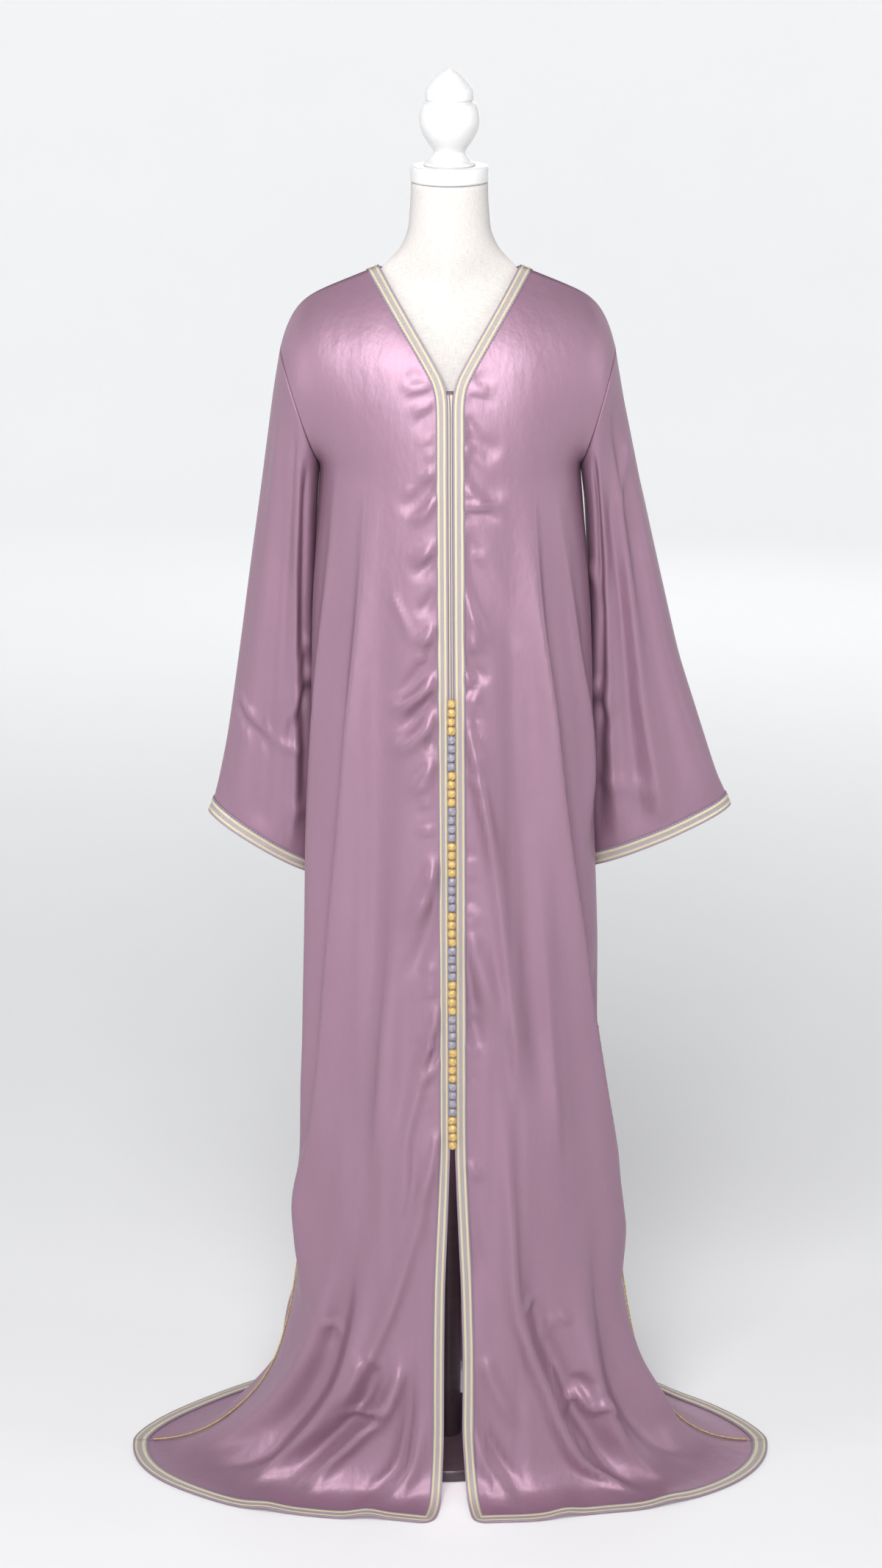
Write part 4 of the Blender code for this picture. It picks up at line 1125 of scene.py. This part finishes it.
CAMERA_PLACE, CAMERA_DOWN, CAMERA_LENS = (-0.010, -4.0, 2.212), 17.86, 77.03


def area_light(name, place, target, size, energy, colour):
    lamp = bpy.data.lights.new(name, "AREA")
    lamp.shape = "RECTANGLE"
    lamp.size, lamp.size_y = size
    lamp.energy, lamp.color = energy, colour
    obj = bpy.data.objects.new(name, lamp)
    obj.location = place
    obj.rotation_euler = (Vector(target) - Vector(place)).to_track_quat("-Z", "Y").to_euler()
    obj.visible_camera = False
    bpy.context.scene.collection.objects.link(obj)


def build_stage():
    smooth_cove(floor_material())
    for name, light in LIGHTS.items():
        area_light(name, *light)
    world = bpy.data.worlds.new("studio")
    world.use_nodes = True
    sky = world.node_tree.nodes["Background"].inputs
    sky["Color"].default_value, sky["Strength"].default_value = srgb(240, 242, 246), 0.24
    bpy.context.scene.world = world
    bpy.context.scene.view_settings.view_transform = "Standard"


def build_camera():
    lens = bpy.data.cameras.new("camera")
    lens.lens, lens.sensor_width = CAMERA_LENS, 36.0
    obj = bpy.data.objects.new("camera", lens)
    obj.location = CAMERA_PLACE
    obj.rotation_euler = (math.radians(90.0 - CAMERA_DOWN), 0.0, 0.0)
    bpy.context.scene.collection.objects.link(obj)
    bpy.context.scene.camera = obj


# ---- build
def keep(obj, slot, *nodes):
    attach(obj, "root")
    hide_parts(*nodes)
    return obj


def build_braid(name, cloth, route, material, flip, *nodes, closed=False):
    """Braid along a route over a piece of cloth, given as its points and outward directions."""
    points, away = (sample(part, *route) for part in cloth)
    away /= np.linalg.norm(away, axis=2, keepdims=True)
    return keep(braid_strip(name, points, away, material, flip, closed), "braid", *nodes)


def build_garment():
    satins = {"front": satin_material("satin_front", 0.0), "back": satin_material("satin_back", 0.7),
              "sleeve": satin_material("satin_sleeve", 1.6)}
    braid = braid_material()
    gold = cord_material("gold_thread", (140, 104, 50), (236, 208, 138))
    silver = cord_material("silver_thread", (84, 78, 108), (188, 184, 190))
    fronts = {side: front_cloth(side) for side in SIDES}
    sheets = {}
    for side, sign in SIDES.items():
        grid = fronts[side][0]
        cloth = cloth_shell("cloth_front_" + side, grid, ALONG, sign, satins["front"])
        sheets["front_" + side] = keep(cloth, "satin", "front_" + side)
        build_braid("braid_front_" + side, fronts[side], front_braid_route(grid), braid, sign > 0,
                    "edge_braid_" + side, "hem_braid_front_" + side)
        keep(build_side_cord(side, fronts[side], gold), "gold_cord", "side_cord_" + side)
    back = back_cloth()
    rows = np.delete(np.arange(len(ALONG)), SPARE_BACK_ROWS)
    cloth = cloth_shell("cloth_back", back[0][rows], ALONG[rows], -1, satins["back"])
    sheets["back"] = keep(cloth, "satin", "back")
    build_braid("braid_hem_back", back, end_route(back[0].shape[1]), braid, True, "hem_braid_back")
    build_braid("braid_neck_back", back, back_neck_route(back[0]), braid, False, "neck_braid_back")
    for side, sign in SIDES.items():
        grid, out, along = sleeve_cloth(side)
        cloth = cloth_shell("cloth_sleeve_" + side, grid, along, -sign, satins["sleeve"], closed=True)
        sheets["sleeve_" + side] = keep(cloth, "satin", "sleeve_" + side)
        build_braid("braid_cuff_" + side, (grid, out), end_route(SLEEVE_ROUND + 1), braid, sign > 0,
                    "cuff_braid_" + side, closed=True)
    keep(build_strip(fronts, tape_material()), "zip_tape", "closure_strip")
    knots_gold, knots_silver = build_knots(fronts, (gold, silver))
    keep(knots_gold, "gold_cord", *("knots_%02d" % k for k in range(1, KNOT_GROUPS + 1, 2)))
    keep(knots_silver, "silver_cord", *("knots_%02d" % k for k in range(2, KNOT_GROUPS + 1, 2)))
    return sheets


def build_form():
    white = lacquer_material("white_lacquer", (214, 213, 212), (200, 199, 199), 0.22, 22.0)
    # The pole and base are a plain dark stand. Their maroon-brown tint is painted shade with a painted pink
    # reflection from the satin, where the inside of the skirt is in shade.
    dark = lacquer_material("dark_metal", (74, 58, 64), (54, 42, 47), 0.40, 60.0)
    disc_top = DISC_Z + DISC_THICK
    torso = keep(build_torso(linen_material()), "linen", "form_torso")
    keep(turned("disc", edged(DISC_RADIUS, DISC_THICK, 0.003), DISC_Z, white), "white_lacquer", "neck_disc")
    keep(turned("finial_turned", rounded(FINIAL_PROFILE), disc_top + GAP, white), "white_lacquer", "finial")
    pole = FORM_ROWS[0, 0] - BASE_HEIGHT - 2 * GAP
    keep(turned("pole_tube", edged(POLE_RADIUS, pole, 0.001), BASE_HEIGHT + GAP, dark), "dark_metal", "pole")
    keep(turned("base_round", edged(BASE_RADIUS, BASE_HEIGHT, 0.003), 0.0, dark), "dark_metal", "base")
    return torso


torso = build_form()
build_garment()
build_stage()
build_camera()
